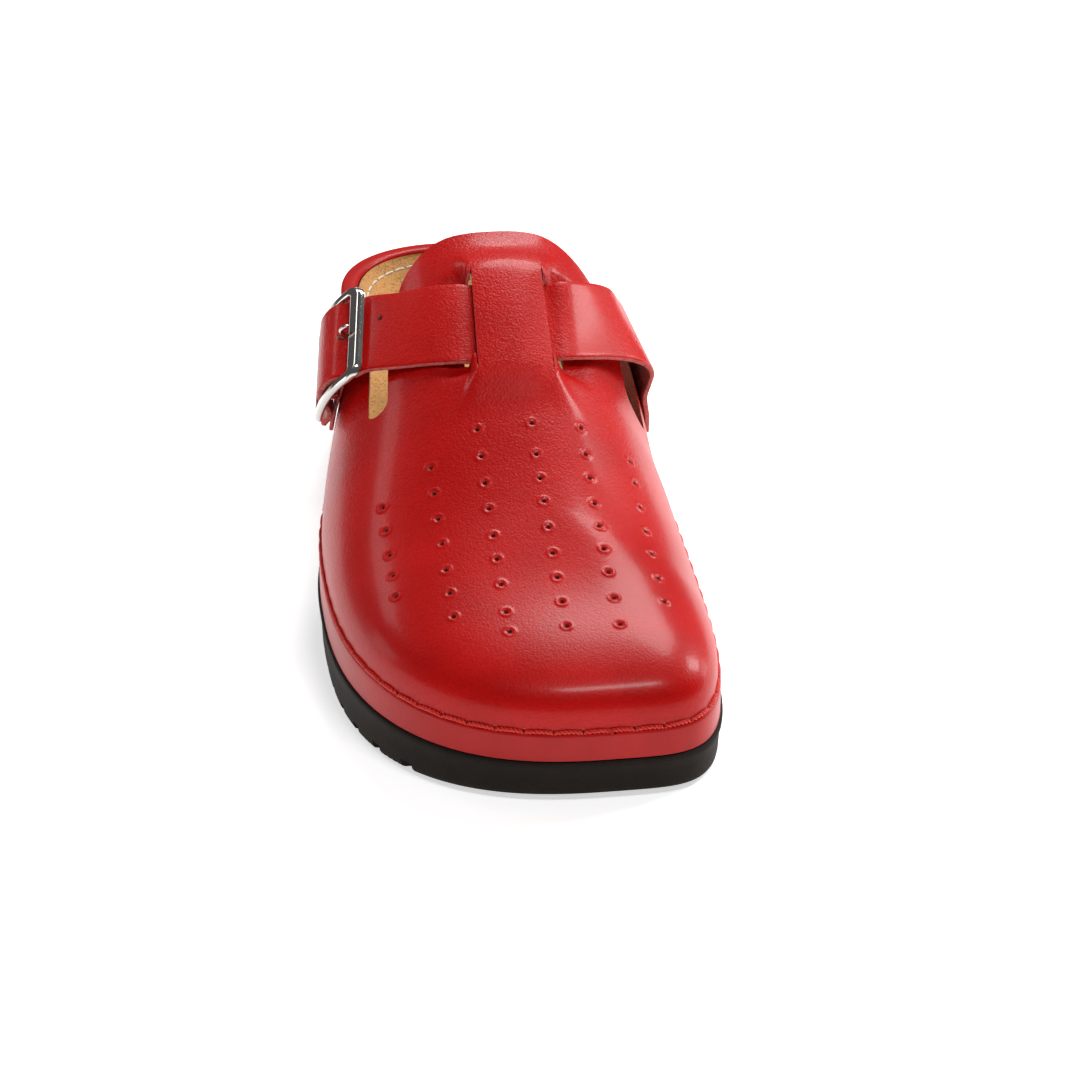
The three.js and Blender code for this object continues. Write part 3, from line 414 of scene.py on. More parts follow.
def upper_point(side, s, u, lifted=True):
    """The upper's outer surface: u is 0 on the feather edge at s, and 1 on the ridge."""
    edge_x = side_x(side, s, UPPER["inset"])
    ridge = ridge_place(s)
    centre_x = ridge_x(ridge)
    x = mix(edge_x, centre_x, u)
    place = mix(s, ridge, u)
    power = np.where(np.asarray(side) < 0, lateral_power(s), medial_power(s))
    z = rand_top(place) + GAP + ridge_rise(place) * arch(u, power)
    return np.stack([x, place, z + (lift_at(x, place) if lifted else 0)], -1)


def upper_over(x, s):
    """The unlifted surface under places in plan, behind the pole."""
    side = np.where(x < ridge_x(s), -1, 1)
    place, u = s, np.zeros_like(s)
    for _ in range(12):
        ridge = ridge_place(place)
        edge_x = side_x(side, place, UPPER["inset"])
        u = np.maximum(0, (x - edge_x) / (ridge_x(ridge) - edge_x))
        place = s - (ridge - place) * u
    return upper_point(side, place, u, lifted=False)


def normal_over(x, s, step=0.4):
    inward = np.where(x < ridge_x(s), step, -step)
    along_x = (upper_over(x + inward, s) - upper_over(x, s)) / inward[:, None]
    along_s = upper_over(x, s + step) - upper_over(x, s - step)
    return unit(np.cross(along_x, along_s))


def bed_height(x, s):
    """The footbed: flat under the toes, cupped up to the rand's edge towards the heel."""
    low, high = [side_x(side, s, BED_INSET) for side in (-1, 1)]
    half, middle = (high - low) / 2, (high + low) / 2
    across = np.where(half > 0.5, np.minimum(1, np.abs(x - middle) / np.maximum(half, 0.5)), 1)
    back = (s - LENGTH + HEEL["run"]) / (HEEL["run"] - BED_INSET)
    end = np.clip(np.maximum(back, 1 - (s - BED_INSET) / HEEL["run"]), 0, 1)
    outward = np.minimum(1, np.hypot(across * rounded(end, 2), end))
    edge = rand_top(s) - INSOLE["sunk"]
    return bed_middle(s) + (edge - bed_middle(s)) * outward ** INSOLE["cup_power"]


# Meshes.

def row_frame(points):
    """From the pattern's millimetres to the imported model's metres."""
    return (np.asarray(points, float) - [MIDDLE_X, LENGTH / 2, 0]) * MM


def piece(name, points, faces, finishes, kinds=None):
    """Links a mesh object of points in the pattern's millimetres, with a finish for each kind of face."""
    mesh = bpy.data.meshes.new(name)
    mesh.from_pydata(row_frame(points).tolist(), [], faces)
    made = bpy.data.objects.new(name, mesh)
    bpy.context.scene.collection.objects.link(made)
    for finish in finishes:
        mesh.materials.append(finish)
    if kinds is not None:
        mesh.polygons.foreach_set("material_index", np.asarray(kinds, np.int32))
    return made


def outward(made, angle=35.0):
    """Turns a closed mesh's faces outwards and smooths its edges below an angle."""
    shape = bmesh.new()
    shape.from_mesh(made.data)
    bmesh.ops.recalc_face_normals(shape, faces=shape.faces)
    soften(shape, angle)
    shape.to_mesh(made.data)
    shape.free()
    return made


def soften(shape, angle):
    limit = math.radians(angle)
    for face in shape.faces:
        face.smooth = True
    for edge in shape.edges:
        edge.smooth = len(edge.link_faces) == 2 and edge.calc_face_angle(0) < limit


def skin(size, count, closed):
    """Quads between rings of one size."""
    faces = []
    for r in range(count if closed else count - 1):
        start, following = r * size, (r + 1) % count * size
        for i in range(size):
            j = (i + 1) % size
            faces.append((start + i, start + j, following + j, following + i))
    return faces


def cap(points, start, steps, columns, height=None):
    """Strips over a ring from its lateral to its medial side, at a height over the plan."""
    left = start + np.arange(1, steps)
    right = start + 2 * steps - np.arange(1, steps)
    rows = [left]
    made = [points]
    count = len(points)
    for j in range(1, columns):
        strip = mix(points[left], points[right], j / columns)
        if height is not None:
            strip[:, 2] = height(strip[:, 0], strip[:, 1])
        made.append(strip)
        rows.append(count + np.arange(steps - 1))
        count += steps - 1
    rows.append(right)
    grid = np.stack(rows, 1)
    faces = []
    for j in range(columns):
        faces.append((start, int(grid[0, j]), int(grid[0, j + 1])))
        faces.append((start + steps, int(grid[-1, j + 1]), int(grid[-1, j])))
        for i in range(steps - 2):
            quad = (grid[i, j], grid[i + 1, j], grid[i + 1, j + 1], grid[i, j + 1])
            faces.append(tuple(int(corner) for corner in quad))
    return np.vstack(made), faces


def stacked(rings, columns=1, bottom=None, top=None):
    """A solid through rings from bottom to top, capped at both ends."""
    size = len(rings[0])
    steps = size // 2
    points = np.vstack(rings)
    faces = skin(size, len(rings), closed=False)
    points, below = cap(points, 0, steps, columns, bottom)
    points, above = cap(points, (len(rings) - 1) * size, steps, columns, top)
    return points, faces + [face[::-1] for face in below] + above


def drum(size):
    """The faces of a drum: walls between two rings of a size, and a lid on each ring."""
    walls = [(i, (i + 1) % size, (i + 1) % size + size, i + size) for i in range(size)]
    return [*walls, tuple(range(size))[::-1], tuple(range(size, 2 * size))]


def prism(outline, low=-20.0, high=140.0):
    """An upright prism over an outline in plan."""
    plan = np.asarray(outline, float)
    points = np.vstack([np.c_[plan, np.full(len(plan), z)] for z in (low, high)])
    return points, drum(len(plan))


def rod(centre, direction, radius, below, above, sides=None):
    """A straight rod along a direction."""
    sides = sides or MESH["cut_sides"]
    axis = unit(direction)
    first = unit(np.cross(axis, (0.31, 0.17, 0.93)))
    second = np.cross(axis, first)
    turn = 2 * math.pi * np.arange(sides) / sides
    circle = radius * (np.cos(turn)[:, None] * first + np.sin(turn)[:, None] * second)
    points = np.vstack([centre + circle - axis * below, centre + circle + axis * above])
    return points, drum(sides)


def cut(made, parts, cut_kind=None):
    """Cuts closed shapes out of a piece. The walls of the cuts take the finish of that kind of face."""
    tool = outward(piece("cutter", *joined(parts), []))
    if cut_kind is not None:
        for finish in made.data.materials:
            tool.data.materials.append(finish)
        tool.data.polygons.foreach_set(
            "material_index", np.full(len(tool.data.polygons), cut_kind, np.int32))
    change = made.modifiers.new("cut", "BOOLEAN")
    change.operation = "DIFFERENCE"
    change.solver = "MANIFOLD"
    change.object = tool
    graph = bpy.context.evaluated_depsgraph_get()
    done = bpy.data.meshes.new_from_object(made.evaluated_get(graph))
    made.modifiers.clear()
    before, after = len(made.data.polygons), len(done.polygons)
    if after == before or after <= before // 4:
        raise RuntimeError(f"{made.name}: a cut left {after} of {before} faces")
    made.data = done
    bpy.data.objects.remove(tool)
    return made


def tube(way, radii, sides=10, closed=False):
    """A round tube along points, with a radius at each, and closed ends."""
    way = np.asarray(way, float)
    count = len(way)
    if closed:
        tangent = unit(np.roll(way, -1, 0) - np.roll(way, 1, 0))
    else:
        tangent = unit(np.gradient(way, axis=0))
    first = unit(np.cross(tangent[0], (0.21, 0.45, 0.87)))
    turn = 2 * math.pi * np.arange(sides) / sides
    rings = []
    for i in range(count):
        first = unit(first - tangent[i] * (first @ tangent[i]))
        second = np.cross(tangent[i], first)
        rings.append(way[i] + radii[i] * (np.cos(turn)[:, None] * first + np.sin(turn)[:, None] * second))
    faces = skin(sides, count, closed)
    if not closed:
        faces += [tuple(range(sides))[::-1], tuple((count - 1) * sides + np.arange(sides))]
    return np.vstack(rings), [tuple(int(i) for i in face) for face in faces]


def joined(parts):
    """Several closed shapes as one set of points and faces."""
    points, faces, count = [], [], 0
    for corners, sides in parts:
        points.append(corners)
        faces += [tuple(i + count for i in side) for side in sides]
        count += len(corners)
    return np.vstack(points), faces


def travelled_along(way):
    """The distance from the start of a way to each of its points."""
    return np.r_[0, np.cumsum(np.linalg.norm(np.diff(way, axis=0), axis=1))]


def grid_normals(grid):
    rows = np.concatenate([grid[:1], grid, grid[-1:]])
    along = rows[2:] - rows[:-2]
    columns = np.concatenate([grid[:, :1], grid, grid[:, -1:]], axis=1)
    across = columns[:, 2:] - columns[:, :-2]
    return unit(np.cross(along, across))


def smooth_rows(rows, steps):
    """Centripetal curves through rows of points, with steps between two rows."""
    rows = np.asarray(rows, float)
    padded = np.concatenate([2 * rows[:1] - rows[1:2], rows, 2 * rows[-1:] - rows[-2:-1]])
    made = []
    for i in range(len(rows) - 1):
        p0, p1, p2, p3 = padded[i:i + 4]
        d0, d1, d2 = [np.linalg.norm(b - a, axis=-1, keepdims=True) ** 0.5
                      for a, b in ((p0, p1), (p1, p2), (p2, p3))]
        leave = ((p1 - p0) / d0 - (p2 - p0) / (d0 + d1) + (p2 - p1) / d1) * d1
        arrive = ((p2 - p1) / d1 - (p3 - p1) / (d1 + d2) + (p3 - p2) / d2) * d1
        for k in range(steps + (i == len(rows) - 2)):
            t = k / steps
            ease = (2 * t**3 - 3 * t**2 + 1) * p1 + (3 * t**2 - 2 * t**3) * p2
            made.append(ease + (t**3 - 2 * t**2 + t) * leave + (t**3 - t**2) * arrive)
    return np.array(made)


# Finishes.

class Signal:
    """A value on a finish's nodes. Arithmetic on it adds Math nodes."""

    def __init__(self, finish, socket):
        self.finish = finish
        self.socket = socket

    def math(self, operation, *values):
        return self.finish.node("Math", {"operation": operation}, values)

    def __add__(self, other):
        return self.math("ADD", self, other)

    def __radd__(self, other):
        return self.math("ADD", other, self)

    def __sub__(self, other):
        return self.math("SUBTRACT", self, other)

    def __rsub__(self, other):
        return self.math("SUBTRACT", other, self)

    def __mul__(self, other):
        return self.math("MULTIPLY", self, other)

    def clamped(self, low, high):
        """Runs from 0 where the value is low to 1 where it is high."""
        return self.finish.node("MapRange", {"interpolation_type": "SMOOTHSTEP"}, {
            "Value": self, "From Min": low, "From Max": high, "To Min": 0.0, "To Max": 1.0})


class Finish:
    """A material under construction: a Principled shader and the nodes that feed it."""

    def __init__(self, name, **shader):
        self.material = bpy.data.materials.new(name)
        self.material.use_nodes = True
        self.tree = self.material.node_tree
        self.surface = self.tree.nodes["Principled BSDF"]
        self.place = self.node("TexCoord", {}, {}, "Object")
        self.feed(self.surface, {key.replace("_", " "): value for key, value in shader.items()})

    def node(self, kind, settings=None, values=(), output=0):
        """Adds a node of a type: its settings are set first, then its sockets' values or links."""
        made = self.tree.nodes.new("ShaderNode" + kind)
        for key, value in (settings or {}).items():
            if key == "stops":
                self.set_stops(made, value)
            else:
                setattr(made, key, value)
        self.feed(made, values if isinstance(values, dict) else dict(enumerate(values)))
        named = {socket.identifier: socket for socket in made.outputs}
        return Signal(self, named.get(output) or made.outputs[output])

    def set_stops(self, ramp, stops):
        elements = ramp.color_ramp.elements
        while len(elements) < len(stops):
            elements.new(0.5)
        for element, (position, tint) in zip(elements, stops):
            element.position = position
            element.color = (*tint, 1.0)

    def feed(self, made, values):
        for key, value in values.items():
            named = {socket.identifier: socket for socket in made.inputs}
            socket = made.inputs[key] if isinstance(key, int) else named.get(key) or made.inputs[key]
            if isinstance(value, Signal):
                self.tree.links.new(value.socket, socket)
            elif socket.type == "RGBA":
                socket.default_value = (*value[:3], 1.0)
            else:
                socket.default_value = value

    def set(self, **values):
        self.feed(self.surface, {key.replace("_", " "): value for key, value in values.items()})

    def blend(self, a, b, factor):
        return self.node("Mix", {"data_type": "RGBA"}, {
            "Factor_Float": factor, "A_Color": a, "B_Color": b}, "Result_Color")

    def noise(self, scale, detail=2.0, roughness=0.5, place=None, distortion=0.0):
        return self.node("TexNoise", {}, {
            "Vector": place or self.place, "Scale": scale, "Detail": detail, "Roughness": roughness,
            "Distortion": distortion}, "Fac")

    def cells(self, scale, place=None, feature="F1", smoothness=None):
        values = {"Vector": place or self.place, "Scale": scale}
        if smoothness is not None:
            values["Smoothness"] = smoothness
        return self.node("TexVoronoi", {"feature": feature}, values, "Distance")

    def stretched(self, factors):
        return self.node("VectorMath", {"operation": "MULTIPLY"}, {0: self.place, 1: factors})

    def nudged(self, scale, amount):
        """The place on the piece, moved about a little so that cells aren't straight."""
        wander = self.node("TexNoise", {}, {"Vector": self.place, "Scale": scale, "Detail": 1.0}, "Color")
        shift = self.node("VectorMath", {"operation": "SCALE"}, {0: wander, "Scale": amount})
        return self.node("VectorMath", {"operation": "ADD"}, {0: self.place, 1: shift})

    def bump(self, height, distance, strength=1.0, normal=None):
        values = {"Height": height, "Distance": distance, "Strength": strength}
        if normal is not None:
            values["Normal"] = normal
        return self.node("Bump", {}, values)

    def axis(self, name):
        return self.node("SeparateXYZ", {}, {"Vector": self.place}, name)


def darker(tint, share):
    return tuple(channel * share for channel in tint)


def grain_leather(name, tint, roughness=0.36, smooth_ahead=None):
    """Pebbled leather: fine rounded cells with creases between them, painted shade in the creases, and a
    soft gloss.
    """
    finish = Finish(name, Coat_Roughness=0.17, Specular_IOR_Level=0.13)
    grain = GRAIN["scale"]
    place = finish.nudged(grain * 0.3, 1.1 / grain)
    pebbles = finish.cells(grain, place, "SMOOTH_F1", 0.25)
    wrinkles = finish.noise(grain * 0.5, 3.0, 0.6, place, 0.3)
    swells = finish.noise(grain * 0.13, 2.0, 0.5)
    height = (1.0 - pebbles) * 0.7 + wrinkles * 0.7 + swells * 0.5
    pores = finish.noise(grain * 2.3, 1.0)
    height = height + pores * 0.14
    if smooth_ahead is not None:
        behind = finish.axis("Y").clamped(*smooth_ahead)
        height = height * (behind * 0.6 + 0.4)
    patches = finish.noise(38.0, 3.0, 0.55)
    shade = finish.blend(darker(tint, 0.86), tint, patches.clamped(0.35, 0.65))
    # The creases between the pebbles are painted darker, towards 0.72 of the tint: painted shade in the
    # creases.
    crease = pebbles.clamped(0.35, 0.75)
    finish.set(
        Base_Color=finish.blend(shade, darker(tint, 0.72), crease * 0.4),
        Roughness=roughness + (patches - 0.5) * 0.12 + pores * 0.05,
        Coat_Weight=0.16 + patches * 0.04,
        Normal=finish.bump(height, GRAIN["depth"]),
    )
    return finish.material


def strip_finishes(name, colours, roughness=0.36):
    """What a strip of leather is made of: its grain, its raw edge, and its underside in a darker copy of the
    raw edge's red, as painted shade.
    """
    return [grain_leather(f"{name} leather", colours.strap, roughness),
            cut_leather(f"{name} cut edge", colours.cut),
            # The underside takes 0.55 of the raw edge's red: painted shade under the strip.
            cut_leather(f"{name} flesh side in painted shade", darker(colours.cut, 0.55))]


def cut_leather(name, tint):
    """The raw edge of cut leather: matt and fibrous, in the tint it is given; on the raw edges that tint is
    pale, partly as painted highlight.
    """
    finish = Finish(name, Specular_IOR_Level=0.25)
    fibres = finish.noise(1900.0, 3.0, 0.7)
    clumps = finish.noise(620.0, 2.0, 0.6)
    finish.set(
        Base_Color=finish.blend(darker(tint, 0.45), tint, (fibres * 0.6 + clumps * 0.5).clamped(0.3, 0.68)),
        Roughness=0.85 + clumps * 0.1,
        Normal=finish.bump(fibres + clumps, 0.00035),
    )
    return finish.material


def suede(name, tint):
    """Napped suede with dark specks and cloudy patches where the nap lies another way."""
    finish = Finish(name, Sheen_Weight=0.15, Sheen_Roughness=0.5, Specular_IOR_Level=0.12)
    nap = finish.noise(1100.0, 3.0, 0.7)
    clouds = finish.noise(70.0, 3.0, 0.6)
    specks = finish.noise(1300.0, 2.0, 0.6).clamped(0.54, 0.66)
    tone = clouds.clamped(0.3, 0.7) * 0.5 + nap.clamped(0.35, 0.65) * 0.5
    base = finish.blend(darker(tint, 0.62), tint, tone)
    finish.set(
        Base_Color=finish.blend(base, darker(tint, 0.36), specks * 0.75),
        Roughness=0.9 + nap * 0.08,
        Normal=finish.bump(nap, 0.00022),
    )
    return finish.material


def rand_leather(name, tint):
    """Smooth polished leather with a barely visible grain."""
    finish = Finish(name, Coat_Roughness=0.16, Specular_IOR_Level=0.16)
    grain = finish.cells(1050.0, finish.nudged(400.0, 0.0008), "SMOOTH_F1", 0.6)
    patches = finish.noise(60.0, 3.0, 0.6)
    finish.set(
        Base_Color=finish.blend(darker(tint, 0.85), tint, patches.clamped(0.3, 0.7)),
        Roughness=0.34 + patches * 0.08,
        Coat_Weight=0.1 + patches * 0.08,
        Normal=finish.bump(grain * -1.0 + patches * 0.4, 0.00003),
    )
    return finish.material


def rubber(name, tint):
    """Dense matt rubber with a fine moulded grain."""
    finish = Finish(name, Specular_IOR_Level=0.12)
    grain = finish.noise(1300.0, 3.0, 0.6)
    dust = finish.noise(90.0, 4.0, 0.65)
    finish.set(
        Base_Color=finish.blend(tint, tuple(c * 1.5 for c in tint), dust.clamped(0.45, 0.75)),
        Roughness=0.58 + grain * 0.14 + dust * 0.08,
        Normal=finish.bump(grain + dust * 0.5, 0.00008),
    )
    return finish.material


def nickel(name, tint):
    """Polished nickel with faint handling marks."""
    finish = Finish(name, Metallic=1.0)
    smears = finish.noise(160.0, 4.0, 0.6)
    scratches = finish.noise(900.0, 2.0, 0.5, finish.stretched((1.0, 0.12, 0.25)))
    finish.set(
        Base_Color=finish.blend(darker(tint, 0.9), tint, smears),
        Roughness=0.1 + smears * 0.08 + scratches.clamped(0.6, 0.8) * 0.05,
        Normal=finish.bump(scratches + smears * 0.6, 0.00001),
    )
    return finish.material


def thread(name, tint, shine):
    """Waxed thread with fine fibres, in darker and lighter flecks."""
    finish = Finish(name, Specular_IOR_Level=0.4)
    fibres = finish.noise(3500.0, 2.0, 0.6)
    finish.set(
        Base_Color=finish.blend(darker(tint, 0.6), tint, fibres.clamped(0.3, 0.65)),
        Roughness=shine + fibres * 0.15,
        Normal=finish.bump(fibres, 0.00005),
    )
    return finish.material


def cork(name):
    """Pressed cork: coarse crumbs in several browns."""
    finish = Finish(name, Specular_IOR_Level=0.2, Roughness=0.9)
    crumbs = finish.node("TexVoronoi", {}, {"Vector": finish.nudged(200.0, 0.002), "Scale": 420.0}, "Color")
    tone = finish.node("RGBToBW", {}, {"Color": crumbs})
    stops = [(0.2, (0.13, 0.06, 0.025)), (0.7, (0.40, 0.23, 0.11))]
    ramp = finish.node("ValToRGB", {"stops": stops}, [tone])
    finish.set(Base_Color=ramp, Normal=finish.bump(finish.noise(700.0, 3.0), 0.0003))
    return finish.material


# Pieces.

class Builder:
    """What the operators share: each builds from the scene's settings."""

    def execute(self, context):
        self.build(context.scene.clog)
        return {"FINISHED"}


def outsole_body():
    places = stations(MESH["edge_along"])
    base = [
        (2.0, floor_at),
        (1.45, lambda s: floor_at(s) + 0.2),
        (1.1, lambda s: floor_at(s) + 0.8),
        (0.9, lambda s: floor_at(s) + 1.8),
        (0.7, lambda s: mix(floor_at(s), sole_top(s), 0.5)),
        (0.35, lambda s: sole_top(s) - 2.6),
        (0.05, lambda s: sole_top(s) - 1.5),
        (0.0, lambda s: sole_top(s) - 0.9),
        (0.12, lambda s: sole_top(s) - 0.35),
        (0.5, lambda s: sole_top(s) - 0.04),
        (1.2, sole_top),
    ]
    return stacked([ring(inset, height, places) for inset, height in base])


def tread_grooves():
    """Grooves right across the tread, with finer and shallower ones between them."""
    parts = []
    middle = (TREAD["pitch"] + TREAD["groove"]) / 2
    grooves = [(0, TREAD["groove"], TREAD["depth"])]
    grooves += [(middle + d, FINE_TREAD["groove"], FINE_TREAD["depth"]) for d in FINE_TREAD["places"]]
    for start, end in TREAD_RUNS:
        for s in np.arange(start, end, TREAD["pitch"]):
            for back, width, depth in grooves:
                front, rear = s + back, s + back + width
                roof = max(floor_at(front), floor_at(rear)) + depth
                parts.append(prism([(-80, front), (80, front), (80, rear), (-80, rear)], -10.0, roof))
    return parts


class CLOG_OT_outsole(Builder, bpy.types.Operator):
    """Builds the rubber outsole with its tread"""
    bl_idname = "clog.outsole"
    bl_label = "Outsole"

    def build(self, settings):
        colours = settings.colours
        made = piece("rubber_outsole", *outsole_body(), [rubber("outsole rubber", colours.rubber)])
        outward(made)
        cut(made, tread_grooves())
        outward(made, 30.0)
        dress(made, "outsole")


def dress(made, node):
    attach(made, "root")
    if node:
        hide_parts(node)


class CLOG_OT_midsole(Builder, bpy.types.Operator):
    """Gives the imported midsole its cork"""
    bl_idname = "clog.midsole"
    bl_label = "Midsole"

    def build(self, settings):
        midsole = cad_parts["midsole"]
        midsole.data.materials.clear()
        midsole.data.materials.append(cork("pressed cork"))


def seam_line(pitch):
    """The seam's way along the rand from the outer quarter round the toe to the inner one."""
    places = np.linspace(0.2, UPPER["back"] - 2.0, 3000)
    half = [np.stack([side_x(side, places, UPPER["inset"] - 0.25), places, rand_top(places) + 0.35], 1)
            for side in (-1, 1)]
    way = np.vstack([half[0][::-1], half[1]])
    travelled = travelled_along(way)
    count = int(travelled[-1] // pitch)

    def at(distance):
        return np.stack([np.interp(distance, travelled, way[:, k]) for k in range(3)], -1)

    return at, count, travelled[-1] / count


def needle_holes(pitch):
    """Slanting holes where the seam's thread goes in."""
    at, count, pitch = seam_line(pitch)
    parts = []
    for k in range(count + 1):
        here, ahead = at(k * pitch), at(k * pitch + 0.6)
        way = unit(ahead - here)
        out = unit(np.cross(way, (0, 0, 1)))
        direction = unit(0.55 * out + np.array((0, 0, 0.8)) + 0.35 * way)
        parts.append(rod(here, direction, NEEDLE["radius"], NEEDLE["below"], NEEDLE["above"], 8))
    return parts


class CLOG_OT_rand(Builder, bpy.types.Operator):
    """Builds the leather strip round the midsole, turned in over its top"""
    bl_idname = "clog.rand"
    bl_label = "Rand"

    def build(self, settings):
        places = stations(MESH["edge_along"])
        inset, thickness, flange, turn = [RAND[k] for k in ("inset", "thickness", "flange", "round_over")]
        inner = inset + thickness
        rings = [(inset, lambda s: sole_top(s) + GAP)]
        rings += [(inset, lambda s, t=t: mix(sole_top(s) + GAP, rand_top(s) - turn, t))
                  for t in (0.15, 0.4, 0.7, 1.0)]
        for k in range(1, 6):
            angle = k / 5 * math.pi / 2
            drop = turn * (1 - math.sin(angle))
            rings.append((inset + turn * (1 - math.cos(angle)), lambda s, d=drop: rand_top(s) - d))
        rings += [
            (inset + flange * 0.6, rand_top),
            (inset + flange - 0.8, lambda s: rand_top(s) - 0.05),
            (inset + flange - 0.25, lambda s: rand_top(s) - 0.3),
            (inset + flange, lambda s: rand_top(s) - 0.8),
            (inset + flange, lambda s: rand_top(s) - thickness),
            (inner, lambda s: rand_top(s) - thickness),
            (inner, lambda s: sole_top(s) + GAP),
        ]
        points = np.vstack([ring(depth, height, places) for depth, height in rings])
        faces = skin(2 * (len(places) - 1), len(rings), closed=True)
        # The needle holes' walls get 0.2 of the rand's red: painted shade in the holes.
        finishes = [rand_leather("rand leather", settings.colours.rand),
                    cut_leather("rand needle hole in painted shade", darker(settings.colours.rand, 0.2))]
        made = piece("leather_rand", points, faces, finishes)
        outward(made)
        cut(made, needle_holes(settings.stitching.seam_pitch * TO_MM), FACE_CUT)
        outward(made, 40.0)
        dress(made, "rand")


class CLOG_OT_footbed(Builder, bpy.types.Operator):
    """Builds the suede footbed"""
    bl_idname = "clog.footbed"
    bl_label = "Footbed"

    def build(self, settings):
        places = stations(2.0)
        edge = lambda s: rand_top(s) - INSOLE["sunk"]
        rings = [
            ring(BED_INSET, lambda s: edge(s) - INSOLE["thickness"], places),
            ring(BED_INSET, lambda s: edge(s) - 0.5, places),
            ring(BED_INSET + 0.4, edge, places),
        ]
        thick = INSOLE["thickness"]
        points, faces = stacked(rings, 44, lambda x, s: bed_height(x, s) - thick, bed_height)
        made = piece("suede_footbed", points, faces,
                     [suede("footbed suede", settings.colours.suede)])
        outward(made, 50.0)
        dress(made, "insole")


def upper_columns():
    columns = 1 - np.cos(np.linspace(0, math.pi / 2, MESH["upper_columns"] + 1))
    columns[-1] = 1.0
    return columns


def half_grid(side):
    """One half of the upper's pattern: places on the feather edge, and columns up to the ridge."""
    inset, back = UPPER["inset"], UPPER["back"]
    share = (LENGTH - 2 * inset) / LENGTH
    places = inset + stations(MESH["upper_along"], 0.0, (back - inset) / share) * share
    places[-1] = back
    s, u = [grid.ravel() for grid in np.meshgrid(places, upper_columns(), indexing="ij")]
    rows, columns = len(places), MESH["upper_columns"] + 1
    first = (np.arange(rows - 1)[:, None] * columns + np.arange(columns - 1)).ravel()
    quads = np.stack([first, first + columns, first + columns + 1, first + 1], 1)
    return s, u, quads[:, ::-side]


def punched_holes():
    """Where each hole is on the vamp, and which way the leather faces there."""
    centres = np.array([(x, s) for x, row in HOLE_ROWS for s in row])
    spots, ways = [], []
    for side in (-1, 1):
        grid = upper_point(side, *half_grid(side)[:2])
        normals = grid_normals(grid.reshape(-1, MESH["upper_columns"] + 1, 3)).reshape(-1, 3)
        spots.append(grid)
        ways.append(normals * np.sign(normals[:, 2:3] + 1e-9))
    spots, ways = np.vstack(spots), np.vstack(ways)
    found, facing = [], []
    for x, s in centres:
        nearest = np.argmin((spots[:, 0] - x) ** 2 + (spots[:, 1] - s) ** 2)
        spot, way = spots[nearest], ways[nearest]
        z = spot[2] - (way[0] * (x - spot[0]) + way[1] * (s - spot[1])) / way[2]
        found.append((x, s, z))
        facing.append(way)
    return np.array(found), np.array(facing)


def puckered(points, normals, holes, facing, rng):
    """Raises a small uneven ring of leather round each punched hole."""
    moved = points.copy()
    for hole, way in zip(holes, facing):
        away = points - hole
        near = np.linalg.norm(away, axis=1) < PUCKER["reach"]
        flat = away[near] - np.outer(away[near] @ way, way)
        distance = np.linalg.norm(flat, axis=1)
        angle = np.arctan2(flat[:, 1], flat[:, 0])
        phase, lean = rng.uniform(0, 2 * math.pi, 2)
        uneven = 1 + 0.3 * np.cos(angle - phase) + 0.2 * np.cos(3 * angle - lean)
        ring_rise = PUCKER["rise"] * np.exp(-(((distance - PUCKER["ring"]) / PUCKER["ring_width"]) ** 2))
        sink = PUCKER["sink"] * np.exp(-((distance / PUCKER["sink_width"]) ** 2))
        moved[near] += normals[near] * (ring_rise * uneven - sink)[:, None]
    return moved


def refined_outside(holes):
    """The upper's outer surface as points and faces, meshed more finely round the punched holes."""
    shape = bmesh.new()
    layers = {key: shape.verts.layers.float.new(key) for key in ("s", "u", "side")}
    for side in (-1, 1):
        s, u, quads = half_grid(side)
        made = [shape.verts.new(point) for point in upper_point(side, s, u)]
        for vertex, place, column in zip(made, s, u):
            vertex[layers["s"]] = place
            vertex[layers["u"]] = column
            vertex[layers["side"]] = side
        for quad in quads:
            shape.faces.new([made[i] for i in quad])
    for reach in (PUCKER["reach"], PUCKER["ring"] + 1.3):
        middles = np.array([(e.verts[0].co + e.verts[1].co) / 2 for e in shape.edges])
        near = np.zeros(len(middles), bool)
        for hole in holes:
            near |= ((middles - hole) ** 2).sum(1) < reach**2
        chosen = [edge for edge, wanted in zip(shape.edges, near) if wanted]
        bmesh.ops.subdivide_edges(shape, edges=chosen, cuts=1, use_grid_fill=True)
        place_on_upper(shape, layers)
    bmesh.ops.remove_doubles(shape, verts=shape.verts, dist=0.001)
    shape.verts.index_update()
    values = [np.array([v[layers[key]] for v in shape.verts]) for key in ("side", "s", "u")]
    shape.normal_update()
    normals = np.array([v.normal for v in shape.verts])
    points = np.array([v.co for v in shape.verts])
    faces = [tuple(v.index for v in face.verts) for face in shape.faces]
    shape.free()
    return points, normals, faces, values


def place_on_upper(shape, layers):
    side, s, u = [np.array([v[layers[key]] for v in shape.verts]) for key in ("side", "s", "u")]
    for vertex, point in zip(shape.verts, upper_point(np.sign(side), s, u)):
        vertex.co = point


def inner_point(side, s, u, wall):
    """The lining's surface, one wall inside the outer one."""
    here = upper_point(side, s, u)
    u = np.clip(u, 0.002, 0.998)
    flat = lambda place, across: upper_point(side, place, across, lifted=False)
    across = flat(s, u + 0.001) - flat(s, u - 0.001)
    before = np.maximum(UPPER["inset"], s - 0.3)
    along = flat(s + 0.3, u) - flat(before, u)
    normal = unit(-np.asarray(side)[:, None] * np.cross(across, along))
    return here - wall * normal, normal


